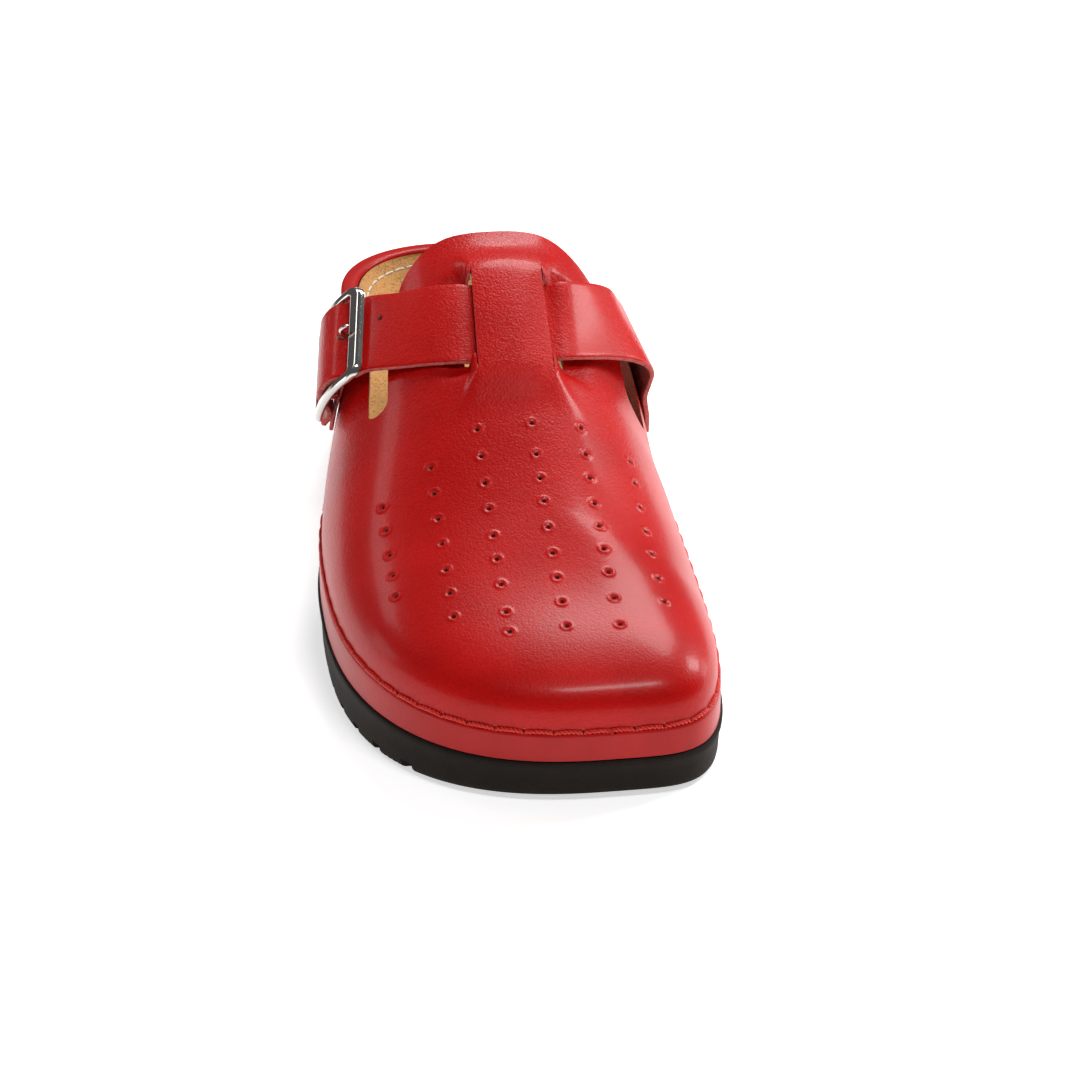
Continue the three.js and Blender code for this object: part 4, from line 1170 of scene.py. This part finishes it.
def rim_order(side, s, u):
    """The vertices of the open edge in order: the rear row and the foot of the inner and outer half."""
    foot = u < 1e-6
    rear = s > UPPER["back"] - 1e-3
    ridge = rear & (u > 1 - 1e-6)
    tip = foot & (s < UPPER["inset"] + 1e-6)

    def chosen(wanted, key):
        found = np.flatnonzero(wanted)
        return found[np.argsort(key[found])]

    order = [chosen(ridge, u)[:1]]
    order += [chosen(rear & ~ridge & (side > 0), -u), chosen(foot & ~rear & ~tip & (side > 0), -s)]
    order += [chosen(tip, u)[:1]]
    order += [chosen(foot & ~rear & ~tip & (side < 0), s), chosen(rear & ~ridge & (side < 0), u)]
    return np.concatenate(order)


def inside(wall):
    """The lining as points and faces, with its two halves meeting along the ridge and the toe."""
    points, faces, keys, count = [], [], [], 0
    for side in (-1, 1):
        s, u, quads = half_grid(side)
        made, normal = inner_point(np.full_like(s, side), s, u, wall)
        foot = u == 0
        level = unit(normal * [1, 1, 0])
        made[foot] = (upper_point(side, s, u) - wall * level)[foot]
        points.append(made)
        keys.append((s, u))
        faces.append(quads + count)
        count += len(made)
    seam = [(u == 1) | (s == UPPER["inset"]) for s, u in keys]
    shared = (points[0] + points[1]) / 2
    for half in (0, 1):
        points[half][seam[half]] = shared[seam[half]]
    values = [np.repeat([-1, 1], [len(s) for s, _ in keys]), *[np.concatenate(k) for k in zip(*keys)]]
    return np.vstack(points), np.vstack(faces), values


def slot_outline(slot):
    """A slot's plan: a rounded end ahead, and open behind."""
    (x, s), (rear_x, rear) = slot["end"], slot["rear"]
    half = SLOT_HALF_WIDTH
    turn = math.pi * (1 + np.arange(17) / 16)
    outline = [(x + half * math.cos(a), s + half * math.sin(a)) for a in turn]
    return outline + [(rear_x + half, rear), (rear_x - half, rear)]


def behind_tongue():
    """The space behind the tongue's rounded rear edge, between the quarters."""
    across, back, behind = [TONGUE[key] for key in ("across", "back", "behind")]
    front = TONGUE["rear"] - back
    outline = []
    turn = np.linspace(0, math.pi / 2, 13)
    for side, edge, angles in zip((-1, 1), TONGUE["edges"], (turn, turn[::-1])):
        outline += [(edge - side * across * (1 - math.cos(a)), front + back * math.sin(a)) for a in angles]
    low, high = TONGUE["reach"]
    return [(low, front), *outline, (high, front), (high, behind), (low, behind)]


def slit_outline(which):
    """A slit from the band's edge outwards, which narrows to a point at both ends."""
    out = (-1, 1)[which] * SLITS["width"] * SLIT_TAPER["share"]
    x = mix(BAND_EDGES["start"][which], BAND_EDGES["end"][which], SLIT_TAPER["along"])
    s = mix(SLITS["start"], SLITS["end"], SLIT_TAPER["along"])
    return [*zip(x, s), *zip((x + out)[::-1], s[::-1])]


def above_top_line(low, high, first, ahead):
    """Everything above the quarters' top line between two distances from the middle."""
    rows = table("s z", TOP_LINE)
    s = np.linspace(rows["s"][first], rows["s"][-1], 40)
    z = curve_through(rows, "z")(s)
    s = s - ahead
    side = np.vstack([np.c_[s, z], [(LENGTH, z[-1]), (LENGTH, 140), (s[0], 140)]])
    return np.vstack([np.c_[np.full(len(side), x), side] for x in (low, high)]), drum(len(side))


class CLOG_OT_upper(Builder, bpy.types.Operator):
    """Builds the upper with its tongue, slots, slits and punched holes"""
    bl_idname = "clog.upper"
    bl_label = "Upper"

    def build(self, settings):
        wall = settings.leather.wall * TO_MM
        rng = np.random.default_rng(settings.seed)
        holes, facing = punched_holes()
        points, normals, faces, values = refined_outside(holes)
        shaped = puckered(points, normals * np.sign(normals[:, 2:3] + 1e-9), holes, facing, rng)
        lining, lining_faces, lining_values = inside(wall)
        colours = settings.colours
        finishes = [
            grain_leather("vamp leather", colours.vamp, smooth_ahead=GRAIN["vamp"]),
            cut_leather("vamp cut edge", colours.cut),
            # The lining is the footbed's suede at 0.4 of its tan: painted shade inside the shoe.
            suede("lining suede in painted shade", darker(colours.suede, 0.4)),
        ]
        made = upper_shell("leather_upper", (shaped, faces, values),
                           (lining, lining_faces, lining_values), finishes)
        cuts = [prism(slot_outline(slot)) for slot in SLOTS]
        cuts += [prism(slit_outline(which)) for which in (0, 1)]
        cuts += [prism(behind_tongue()), *[above_top_line(*row) for row in QUARTER_CUTS]]
        for part in cuts:
            cut(made, [part], FACE_CUT)
        radius = settings.leather.hole * TO_MM / 2
        cut(made, [rod(hole, way, radius, 4.0, 1.5) for hole, way in zip(holes, facing)], FACE_CUT)
        cut(made, needle_holes(settings.stitching.seam_pitch * TO_MM), FACE_CUT)
        outward(made, 38.0)
        dress(made, "upper")


def upper_shell(name, outer, lining, finishes):
    """Joins the outer surface and the lining along their rims into one closed wall."""
    shape = bmesh.new()
    rims = []
    for (points, faces, values), kind in ((outer, FACE_GRAIN), (lining, FACE_LINING)):
        made = [shape.verts.new(point) for point in points]
        for face in faces:
            shape.faces.new([made[i] for i in face]).material_index = kind
        if kind == FACE_LINING:
            bmesh.ops.remove_doubles(shape, verts=made, dist=0.001)
        kept = np.array([vertex.is_valid for vertex in made])
        order = rim_order(*[np.where(kept, value, np.nan) for value in values])
        rims.append([made[i] for i in order])
    count = len(rims[0])
    if count != len(rims[1]):
        raise RuntimeError(f"the upper's rims have {count} and {len(rims[1])} points")
    for i in range(count):
        j = (i + 1) % count
        shape.faces.new((rims[0][i], rims[0][j], rims[1][j], rims[1][i])).material_index = FACE_CUT
    bmesh.ops.recalc_face_normals(shape, faces=shape.faces)
    mesh = bpy.data.meshes.new(name)
    shape.to_mesh(mesh)
    shape.free()
    place = np.empty(len(mesh.vertices) * 3)
    mesh.vertices.foreach_get("co", place)
    mesh.vertices.foreach_set("co", row_frame(place.reshape(-1, 3)).ravel())
    for finish in finishes:
        mesh.materials.append(finish)
    made = bpy.data.objects.new(name, mesh)
    bpy.context.scene.collection.objects.link(made)
    return made


# The buckle's own frame: along its bars, down over the side of the foot, and outwards.

def buckle_frame():
    inner, outer = [np.array(BUCKLE[key]) for key in ("inner", "outer")]
    e1 = unit(BUCKLE["along"])
    reach = outer - inner
    e2 = unit(reach - e1 * (reach @ e1))
    e3 = unit(np.cross(e1, e2))
    return e1, e2, e3, (inner + outer) / 2 + e3 * BUCKLE["stand_off"], reach @ e2 / 2


def on_buckle(along, down, out):
    e1, e2, e3, middle, _ = buckle_frame()
    along, down, out = np.broadcast_arrays(along, down, out)
    return middle + along[..., None] * e1 + down[..., None] * e2 + out[..., None] * e3


def bowed(along, down, out):
    half = buckle_frame()[4]
    return on_buckle(along, down, out + BUCKLE["bow"] * (1 - (down / half) ** 2))


def quarter_row(side, s, z, lift, across):
    """Points across a strip of leather on the steep side of a quarter, each at its own height."""
    place = s + across * STRAP_SLOPE["back"]
    height = z + across * STRAP_SLOPE["rise"]
    low, high = np.zeros_like(place), np.ones_like(place)
    for _ in range(30):
        u = (low + high) / 2
        under = upper_point(side, place, u, lifted=False)[:, 2] < height
        low, high = np.where(under, u, low), np.where(under, high, u)
    at = lambda u, ds: upper_point(side, place + ds, u, lifted=False)
    upward = at(low + 0.004, 0) - at(low, 0)
    backward = at(low, 0.5) - at(low, -0.5)
    return at(low, 0) + unit(-side * np.cross(upward, backward)) * lift


def strap_middle(across, width):
    """The strap's middle layer, from its end in the buckle to its end on the inner quarter."""
    half = buckle_frame()[4]
    rows = [on_buckle(across, down * half, out)
            for down, out in zip(STRAP_IN_BUCKLE["down"], STRAP_IN_BUCKLE["out"])]
    for x, s, lift, lean in zip(*[STRAP_ON_UPPER[key] for key in ("x", "s", "lift", "lean")]):
        place = (x + across * lean, s + across * STRAP_SLOPE["back"])
        rows.append(upper_over(*place) + normal_over(*place) * lift)
    share = across[:, None] / width + 0.5
    rows += [mix(np.array(front, float), np.array(rear, float), share) for front, rear in STRAP_BEND]
    rows += [quarter_row(1, *row, across) for row in zip(*[STRAP_ON_QUARTER[k] for k in ("s", "z", "lift")])]
    return smooth_rows(rows, MESH["strap_steps"])


def across_strip(width):
    """Columns across a strip of leather, closer together along its edges."""
    near = np.array([0.0, 0.12, 0.35, 0.75])
    inner = np.linspace(1.5, width - 1.5, round(width / 1.1))
    return np.r_[near, inner, width - near[::-1]] - width / 2


def leather_strip(middle, across, thickness, rng, fray=0.12):
    """A strip of leather with softly broken top edges and uneven raw sides, and its kinds of faces."""
    normals = grid_normals(middle)
    width = across[-1] - across[0]
    edge = np.minimum(1, (width / 2 - np.abs(across)) / 0.75)
    half = thickness / 2 * (1 - 0.3 * (1 - edge) ** 2)
    top = middle + normals * half[:, None]
    under = middle - normals * half[:, None]
    rows, columns = middle.shape[:2]
    sideways = [unit(middle[:, 0] - middle[:, 1]), unit(middle[:, -1] - middle[:, -2])]
    walls = []
    for way, column in zip(sideways, (0, -1)):
        levels = []
        for level in (-0.35, 0.35):
            push = 0.1 + fray * rng.uniform(-1, 1, rows)
            levels.append(middle[:, column] + normals[:, column] * half[column] * 2 * level * 0.9
                          + way * push[:, None])
        walls.append(levels)
    (left_low, left_high), (right_low, right_high) = walls
    loop = np.concatenate([
        top, right_high[:, None], right_low[:, None], under[:, ::-1], left_low[:, None], left_high[:, None],
    ], axis=1)
    size = loop.shape[1]
    faces = skin(size, rows, closed=False)
    kind_of = np.full(size, FACE_GRAIN)
    kind_of[columns - 1:columns + 2] = FACE_CUT
    kind_of[columns + 2:2 * columns + 1] = FACE_LINING
    kind_of[2 * columns + 1:] = FACE_CUT
    kinds = np.tile(kind_of, rows - 1)
    for start, flip in ((0, True), ((rows - 1) * size, False)):
        lid = []
        for j in range(columns - 1):
            lid.append((j, j + 1, 2 * columns - j, 2 * columns + 1 - j))
        lid.append((columns - 1, columns, columns + 1, columns + 2))
        lid.append((0, 2 * columns + 1, 2 * columns + 2, 2 * columns + 3))
        faces += [tuple(start + i for i in (face[::-1] if flip else face)) for face in lid]
        kinds = np.r_[kinds, np.full(len(lid), FACE_CUT)]
    return loop.reshape(-1, 3), faces, kinds


def buckle_block(along, down, out):
    """A block in the buckle's frame."""
    corners = [(a, d) for a in along for d in down]
    order = [corners[i] for i in (0, 1, 3, 2)]
    return np.vstack([[on_buckle(a, d, o) for a, d in order] for o in out]), drum(len(order))


class CLOG_OT_strap(Builder, bpy.types.Operator):
    """Builds the instep strap"""
    bl_idname = "clog.strap"
    bl_label = "Strap"

    def build(self, settings):
        leather = settings.leather
        width = leather.strap_width * TO_MM
        across = across_strip(width)
        middle = strap_middle(across, width)
        rng = np.random.default_rng(settings.seed + 1)
        points, faces, kinds = leather_strip(middle, across, leather.strap_thickness * TO_MM, rng)
        finishes = strip_finishes("strap", settings.colours)
        made = outward(piece("leather_strap", points, faces, finishes, kinds))
        hole_along = [PRONG["along"] + side * PRONG_HOLE["width"] / 2 for side in (-1, 1)]
        slot = buckle_block(hole_along, (PRONG_HOLE["start"], PRONG_HOLE["end"]), (-5.0, 5.0))
        cut(made, [slot], FACE_CUT)
        flat = middle.reshape(-1, 3)
        facing = grid_normals(middle).reshape(-1, 3)
        spot = np.argmin(np.hypot(flat[:, 0] - SPARE_HOLE["x"], flat[:, 1] - SPARE_HOLE["s"]))
        cut(made, [rod(flat[spot], facing[spot], SPARE_HOLE["radius"], 2.0, 2.0)], FACE_CUT)
        outward(made, 42.0)
        dress(made, "strap")


def buckle_ring():
    """The buckle's frame as a bevelled section swept round a rounded rectangle, then bowed."""
    half = buckle_frame()[4]
    bar, cheek = BUCKLE["bar"], BUCKLE["bar"] * 0.7
    centre_half = (BUCKLE["length"] / 2 - cheek / 2, half)
    corner = BUCKLE["corner"] - cheek / 2
    turns, straight = 10, 16
    signs = np.array([(1, 1), (-1, 1), (-1, -1), (1, -1)])
    middles = signs * (np.array(centre_half) - corner)
    path, facing = [], []
    for quarter in range(4):
        for k in range(turns + 1):
            angle = (quarter + k / turns) * math.pi / 2
            way = np.array((math.cos(angle), math.sin(angle)))
            path.append(middles[quarter] + corner * way)
            facing.append(way)
        target = middles[(quarter + 1) % 4] + corner * way
        for k in range(1, straight):
            path.append(mix(path[-k], target, k / straight))
            facing.append(way)
    path, facing = np.array(path), np.array(facing)
    long_share = np.abs(facing[:, 1]) ** 2
    half_width = mix(cheek / 2, bar / 2, long_share)
    half_thick, bevel = BUCKLE["thickness"] / 2, BUCKLE["bevel"]
    section = [
        (-1, 0, 1, -bevel), (-1, bevel * 0.3, 1, -bevel * 0.3), (-1, bevel, 1, 0), (-1, bevel * 1.4, 1, 0),
        (1, -bevel * 1.4, 1, 0), (1, -bevel, 1, 0), (1, -bevel * 0.3, 1, -bevel * 0.3), (1, 0, 1, -bevel),
        (1, 0, -1, bevel), (1, -bevel * 0.5, -1, bevel * 0.2), (1, -bevel, -1, 0),
        (-1, bevel, -1, 0), (-1, bevel * 0.5, -1, bevel * 0.2), (-1, 0, -1, bevel),
    ]
    rings = []
    for place, way, reach in zip(path, facing, half_width):
        w = np.array([sign * reach + shift for sign, shift, _, _ in section])
        h = np.array([sign * half_thick + shift for _, _, sign, shift in section])
        flat = place + w[:, None] * way
        rings.append(bowed(flat[:, 0], flat[:, 1], h))
    return np.vstack(rings), skin(len(section), len(rings), closed=True)


class CLOG_OT_buckle(Builder, bpy.types.Operator):
    """Builds the buckle's frame with its axle, and the prong"""
    bl_idname = "clog.buckle"
    bl_label = "Buckle and prong"

    def build(self, settings):
        finish = nickel("polished nickel", settings.colours.metal)
        cheek = BUCKLE["bar"] * 0.7
        reach = BUCKLE["length"] / 2 - cheek / 2
        drop = BUCKLE["axle_drop"]
        turn = np.linspace(0, math.pi / 2, 5)
        bend = 1.4
        end = [(reach - bend * (1 - math.sin(a)), -drop + bend * (1 - math.cos(a))) for a in turn]
        way = [(-a, o) for a, o in end[::-1]] + [(a, o) for a, o in end]
        way = [(-reach, -0.4), *way, (reach, -0.4)]
        along, out = np.array(way).T
        count = 61
        steps = np.linspace(0, len(way) - 1, count)
        fine, fine_out = [np.interp(steps, np.arange(len(way)), row) for row in (along, out)]
        axle = tube(bowed(fine, np.zeros(count), fine_out), np.full(count, BUCKLE["axle"] * 0.98), 14)
        made = outward(piece("buckle_frame", *joined([buckle_ring(), axle]), [finish]), 30.0)
        dress(made, "buckle")
        rows = smooth_rows(on_buckle(PRONG["along"], PRONG_WAY["down"], PRONG_WAY["out"])[:, None], 6)[:, 0]
        steps = np.linspace(0, 1, len(rows))
        radii = mix(PRONG["radius"], PRONG["tip_radius"], smooth((steps - 0.55) / 0.45))
        radii[-3:] *= (0.96, 0.8, 0.45)
        shank = tube(rows, radii, 12)
        count = 28
        circle = 2 * math.pi * np.arange(count) / count
        axle_out = BUCKLE["bow"] - drop
        eye_way = on_buckle(np.full(count, PRONG["along"]), PRONG["eye_radius"] * np.cos(circle),
                            axle_out + PRONG["eye_radius"] * np.sin(circle))
        eye = tube(eye_way, np.full(count, PRONG["eye_wire"]), 10, closed=True)
        prong = outward(piece("buckle_prong_pin", *joined([shank, eye]), [finish]), 50.0)
        dress(prong, "buckle_prong")


class CLOG_OT_tab(Builder, bpy.types.Operator):
    """Builds the leather loop that holds the buckle's axle"""
    bl_idname = "clog.tab"
    bl_label = "Buckle loop"

    def build(self, settings):
        across = across_strip(TAB["width"])
        thickness = TAB["thickness"]
        radius = BUCKLE["axle"] + GAP + thickness / 2
        axle_out = BUCKLE["bow"] - BUCKLE["axle_drop"]
        rows = []
        for k in range(7):
            angle = math.pi * (0.2 + 1.3 * k / 6)
            rows.append(on_buckle(across, radius * math.cos(angle), axle_out + radius * math.sin(angle)))
        rows += [quarter_row(-1, *row, across) for row in zip(*[TAB_TAIL[k] for k in ("s", "z", "lift")])]
        rng = np.random.default_rng(settings.seed + 2)
        middle = smooth_rows(rows, 6)
        points, faces, kinds = leather_strip(middle, across, thickness, rng, 0.06)
        finishes = strip_finishes("loop", settings.colours, 0.38)
        made = outward(piece("leather_buckle_loop", points, faces, finishes, kinds))
        along = [PRONG["along"] + side * TAB["slot"] / 2 for side in (-1, 1)]
        cut(made, [buckle_block(along, (-8.0, 1.2), (-1.6, 6.0))], FACE_CUT)
        outward(made, 42.0)
        dress(made, "buckle_tab")


def twisted_stitch(way, radius, plies, pitch, sides=6):
    """A stitch of twisted thread along a short way."""
    tangent = unit(np.gradient(way, axis=0))
    travelled = travelled_along(way)
    first = unit(np.cross(tangent, np.array((0.0, 0.0, 1.0)) + 0 * tangent))
    second = np.cross(tangent, first)
    parts = []
    for ply in range(plies):
        angle = 2 * math.pi * (ply / plies + travelled / pitch)
        offset = radius * 0.5 * (np.cos(angle)[:, None] * first + np.sin(angle)[:, None] * second)
        parts.append(tube(way + offset, np.full(len(way), radius * 0.56), sides))
    return joined(parts)


class CLOG_OT_stitching(Builder, bpy.types.Operator):
    """Sews the rand's seam and the footbed's seam"""
    bl_idname = "clog.stitching"
    bl_label = "Stitching"

    def build(self, settings):
        sewing = settings.stitching
        at, count, pitch = seam_line(sewing.seam_pitch * TO_MM)
        radius = sewing.seam_thread * TO_MM / 2
        t = np.linspace(0.03, 0.97, 26)
        arch = np.sin(math.pi * t) ** 0.45
        stitches = []
        for k in range(count):
            way = at((k + t) * pitch)
            out = unit(np.cross(unit(way[-1] - way[0]), (0, 0, 1)))
            way = way + np.outer(arch * 0.75 - 0.75, 0.5 * out + np.array((0, 0, 0.85)))
            stitches.append(twisted_stitch(way, radius, 2, 2.2))
        seam = piece("seam_thread", *joined(stitches), [thread("seam thread", settings.colours.seam, 0.4)])
        outward(seam, 60.0)
        dress(seam, None)
        self.sew_footbed(settings)

    def sew_footbed(self, settings):
        sewing = settings.stitching
        inset = sewing.bed_inset * TO_MM
        places = np.linspace(190.0, LENGTH - inset, 1500)
        halves = [np.stack([side_x(side, places, inset), places], 1) for side in (-1, 1)]
        plan = np.vstack([halves[0], halves[1][::-1]])
        way = np.c_[plan, bed_height(plan[:, 0], plan[:, 1])]
        travelled = travelled_along(way)
        pitch = sewing.bed_pitch * TO_MM
        radius = sewing.bed_thread * TO_MM / 2
        stitches = []
        for k in range(int(travelled[-1] // pitch)):
            t = np.linspace(0.12, 0.88, 12)
            spot = [np.interp((k + t) * pitch, travelled, way[:, axis]) for axis in range(3)]
            dash = np.stack(spot, -1)
            dash[:, 2] += 0.75 * radius * np.sin(math.pi * (t - 0.12) / 0.76) ** 0.5 - 0.1
            stitches.append(tube(dash, np.full(len(dash), radius), 8))
        seam = piece("footbed_thread", *joined(stitches), [
            thread("footbed thread", settings.colours.bed_seam, 0.6)])
        outward(seam, 60.0)
        dress(seam, None)


CAMERA = {"place": (-0.1049, -0.8336, 0.4200), "azimuth": -8.23, "elevation": 26.0}


# The lights: their names, places, sizes, and powers in watts at the stage's setting of 1.
LIGHTS = [
    ("key", (0.34, 0.62, 1.05), (0.6, 0.45), 11.0),
    ("left", (-0.62, 0.5, 0.66), (0.34, 0.2), 0.9),
    ("left", (-0.9, 0.25, 0.2), (0.3, 0.3), 0.6),
    ("right", (0.85, 0.26, 0.64), (0.24, 0.36), 5.0),
    ("right", (0.9, 0.3, 0.2), (0.3, 0.3), 1.3),
    ("front", (0.17, -0.5, 0.98), (0.36, 0.12), 3.4),
]


def area_light(name, place, aim, size, power):
    lamp = bpy.data.lights.new(name, "AREA")
    lamp.shape = "RECTANGLE"
    lamp.size, lamp.size_y = size
    lamp.energy = power
    made = bpy.data.objects.new(name, lamp)
    made.location = place
    made.rotation_euler = (Vector(aim) - Vector(place)).to_track_quat("-Z", "Y").to_euler()
    bpy.context.scene.collection.objects.link(made)
    return made


class CLOG_OT_stage(Builder, bpy.types.Operator):
    """Sets the camera, the lights, the white surroundings and the floor"""
    bl_idname = "clog.stage"
    bl_label = "Stage"

    def build(self, settings):
        scene, stage = bpy.context.scene, settings.stage
        lens = bpy.data.cameras.new("camera")
        lens.lens = stage.lens
        lens.sensor_width = 36.0
        lens.clip_end = 20.0
        camera = bpy.data.objects.new("camera", lens)
        a, e = math.radians(CAMERA["azimuth"]), math.radians(CAMERA["elevation"])
        right = Vector((math.cos(a), math.sin(a), 0))
        back = Vector((math.sin(a) * math.cos(e), -math.cos(a) * math.cos(e), math.sin(e)))
        turned = Matrix((right, back.cross(right), back)).transposed()
        camera.matrix_world = Matrix.Translation(CAMERA["place"]) @ turned.to_4x4()
        scene.collection.objects.link(camera)
        scene.camera = camera
        for name, place, size, power in LIGHTS:
            area_light(name, place, (0, -0.02, 0.05), size, power * getattr(stage, name))
        world = bpy.data.worlds.new("white surroundings")
        world.use_nodes = True
        sky = world.node_tree.nodes["Background"]
        sky.inputs["Color"].default_value = (1, 1, 1, 1)
        sky.inputs["Strength"].default_value = stage.world
        scene.world = world
        scene.view_settings.view_transform = "Standard"
        self.lay_floor(stage.floor)

    def lay_floor(self, shine):
        finish = Finish("pale floor", Specular_IOR_Level=0.1, Roughness=0.9)
        finish.set(Emission_Color=(1, 1, 1), Emission_Strength=shine)
        speck = finish.noise(40.0, 2.0)
        finish.set(Base_Color=finish.blend((0.93, 0.93, 0.93), (0.95, 0.95, 0.95), speck))
        half = 3.0 * TO_MM
        corners = [(-half, -half, 0), (half, -half, 0), (half, half, 0), (-half, half, 0)]
        floor = piece("floor", np.array(corners, float), [(0, 1, 2, 3)], [finish.material])


class CLOG_PT_panel(bpy.types.Panel):
    """Lists the clog's sizes, colours and pieces"""
    bl_idname = "CLOG_PT_panel"
    bl_label = "Clog"
    bl_space_type = "VIEW_3D"
    bl_region_type = "UI"
    bl_category = "Clog"

    def draw(self, context):
        for group in (settings.leather, settings.stitching, settings.colours, settings.stage):
            box = self.layout.box()
            for key in group.__annotations__:
                box.prop(group, key)
        self.layout.prop(settings, "seed")
        for operator in OPERATORS:
            self.layout.operator(operator.bl_idname)


OPERATORS = (
    CLOG_OT_stage, CLOG_OT_outsole, CLOG_OT_midsole, CLOG_OT_rand, CLOG_OT_footbed, CLOG_OT_upper,
    CLOG_OT_strap, CLOG_OT_buckle, CLOG_OT_tab, CLOG_OT_stitching,
)
GROUPS = (ClogLeather, ClogStitching, ClogColours, ClogStage, ClogSettings)
CLASSES = (*GROUPS, *OPERATORS, CLOG_PT_panel)


def register():
    for kind in CLASSES:
        bpy.utils.register_class(kind)
    bpy.types.Scene.clog = PointerProperty(type=ClogSettings)


def unregister():
    del bpy.types.Scene.clog
    for kind in reversed(CLASSES):
        bpy.utils.unregister_class(kind)


def main():
    register()
    for operator in OPERATORS:
        group, name = operator.bl_idname.split(".")
        getattr(getattr(bpy.ops, group), name)()


if __name__ == "__main__":
    main()
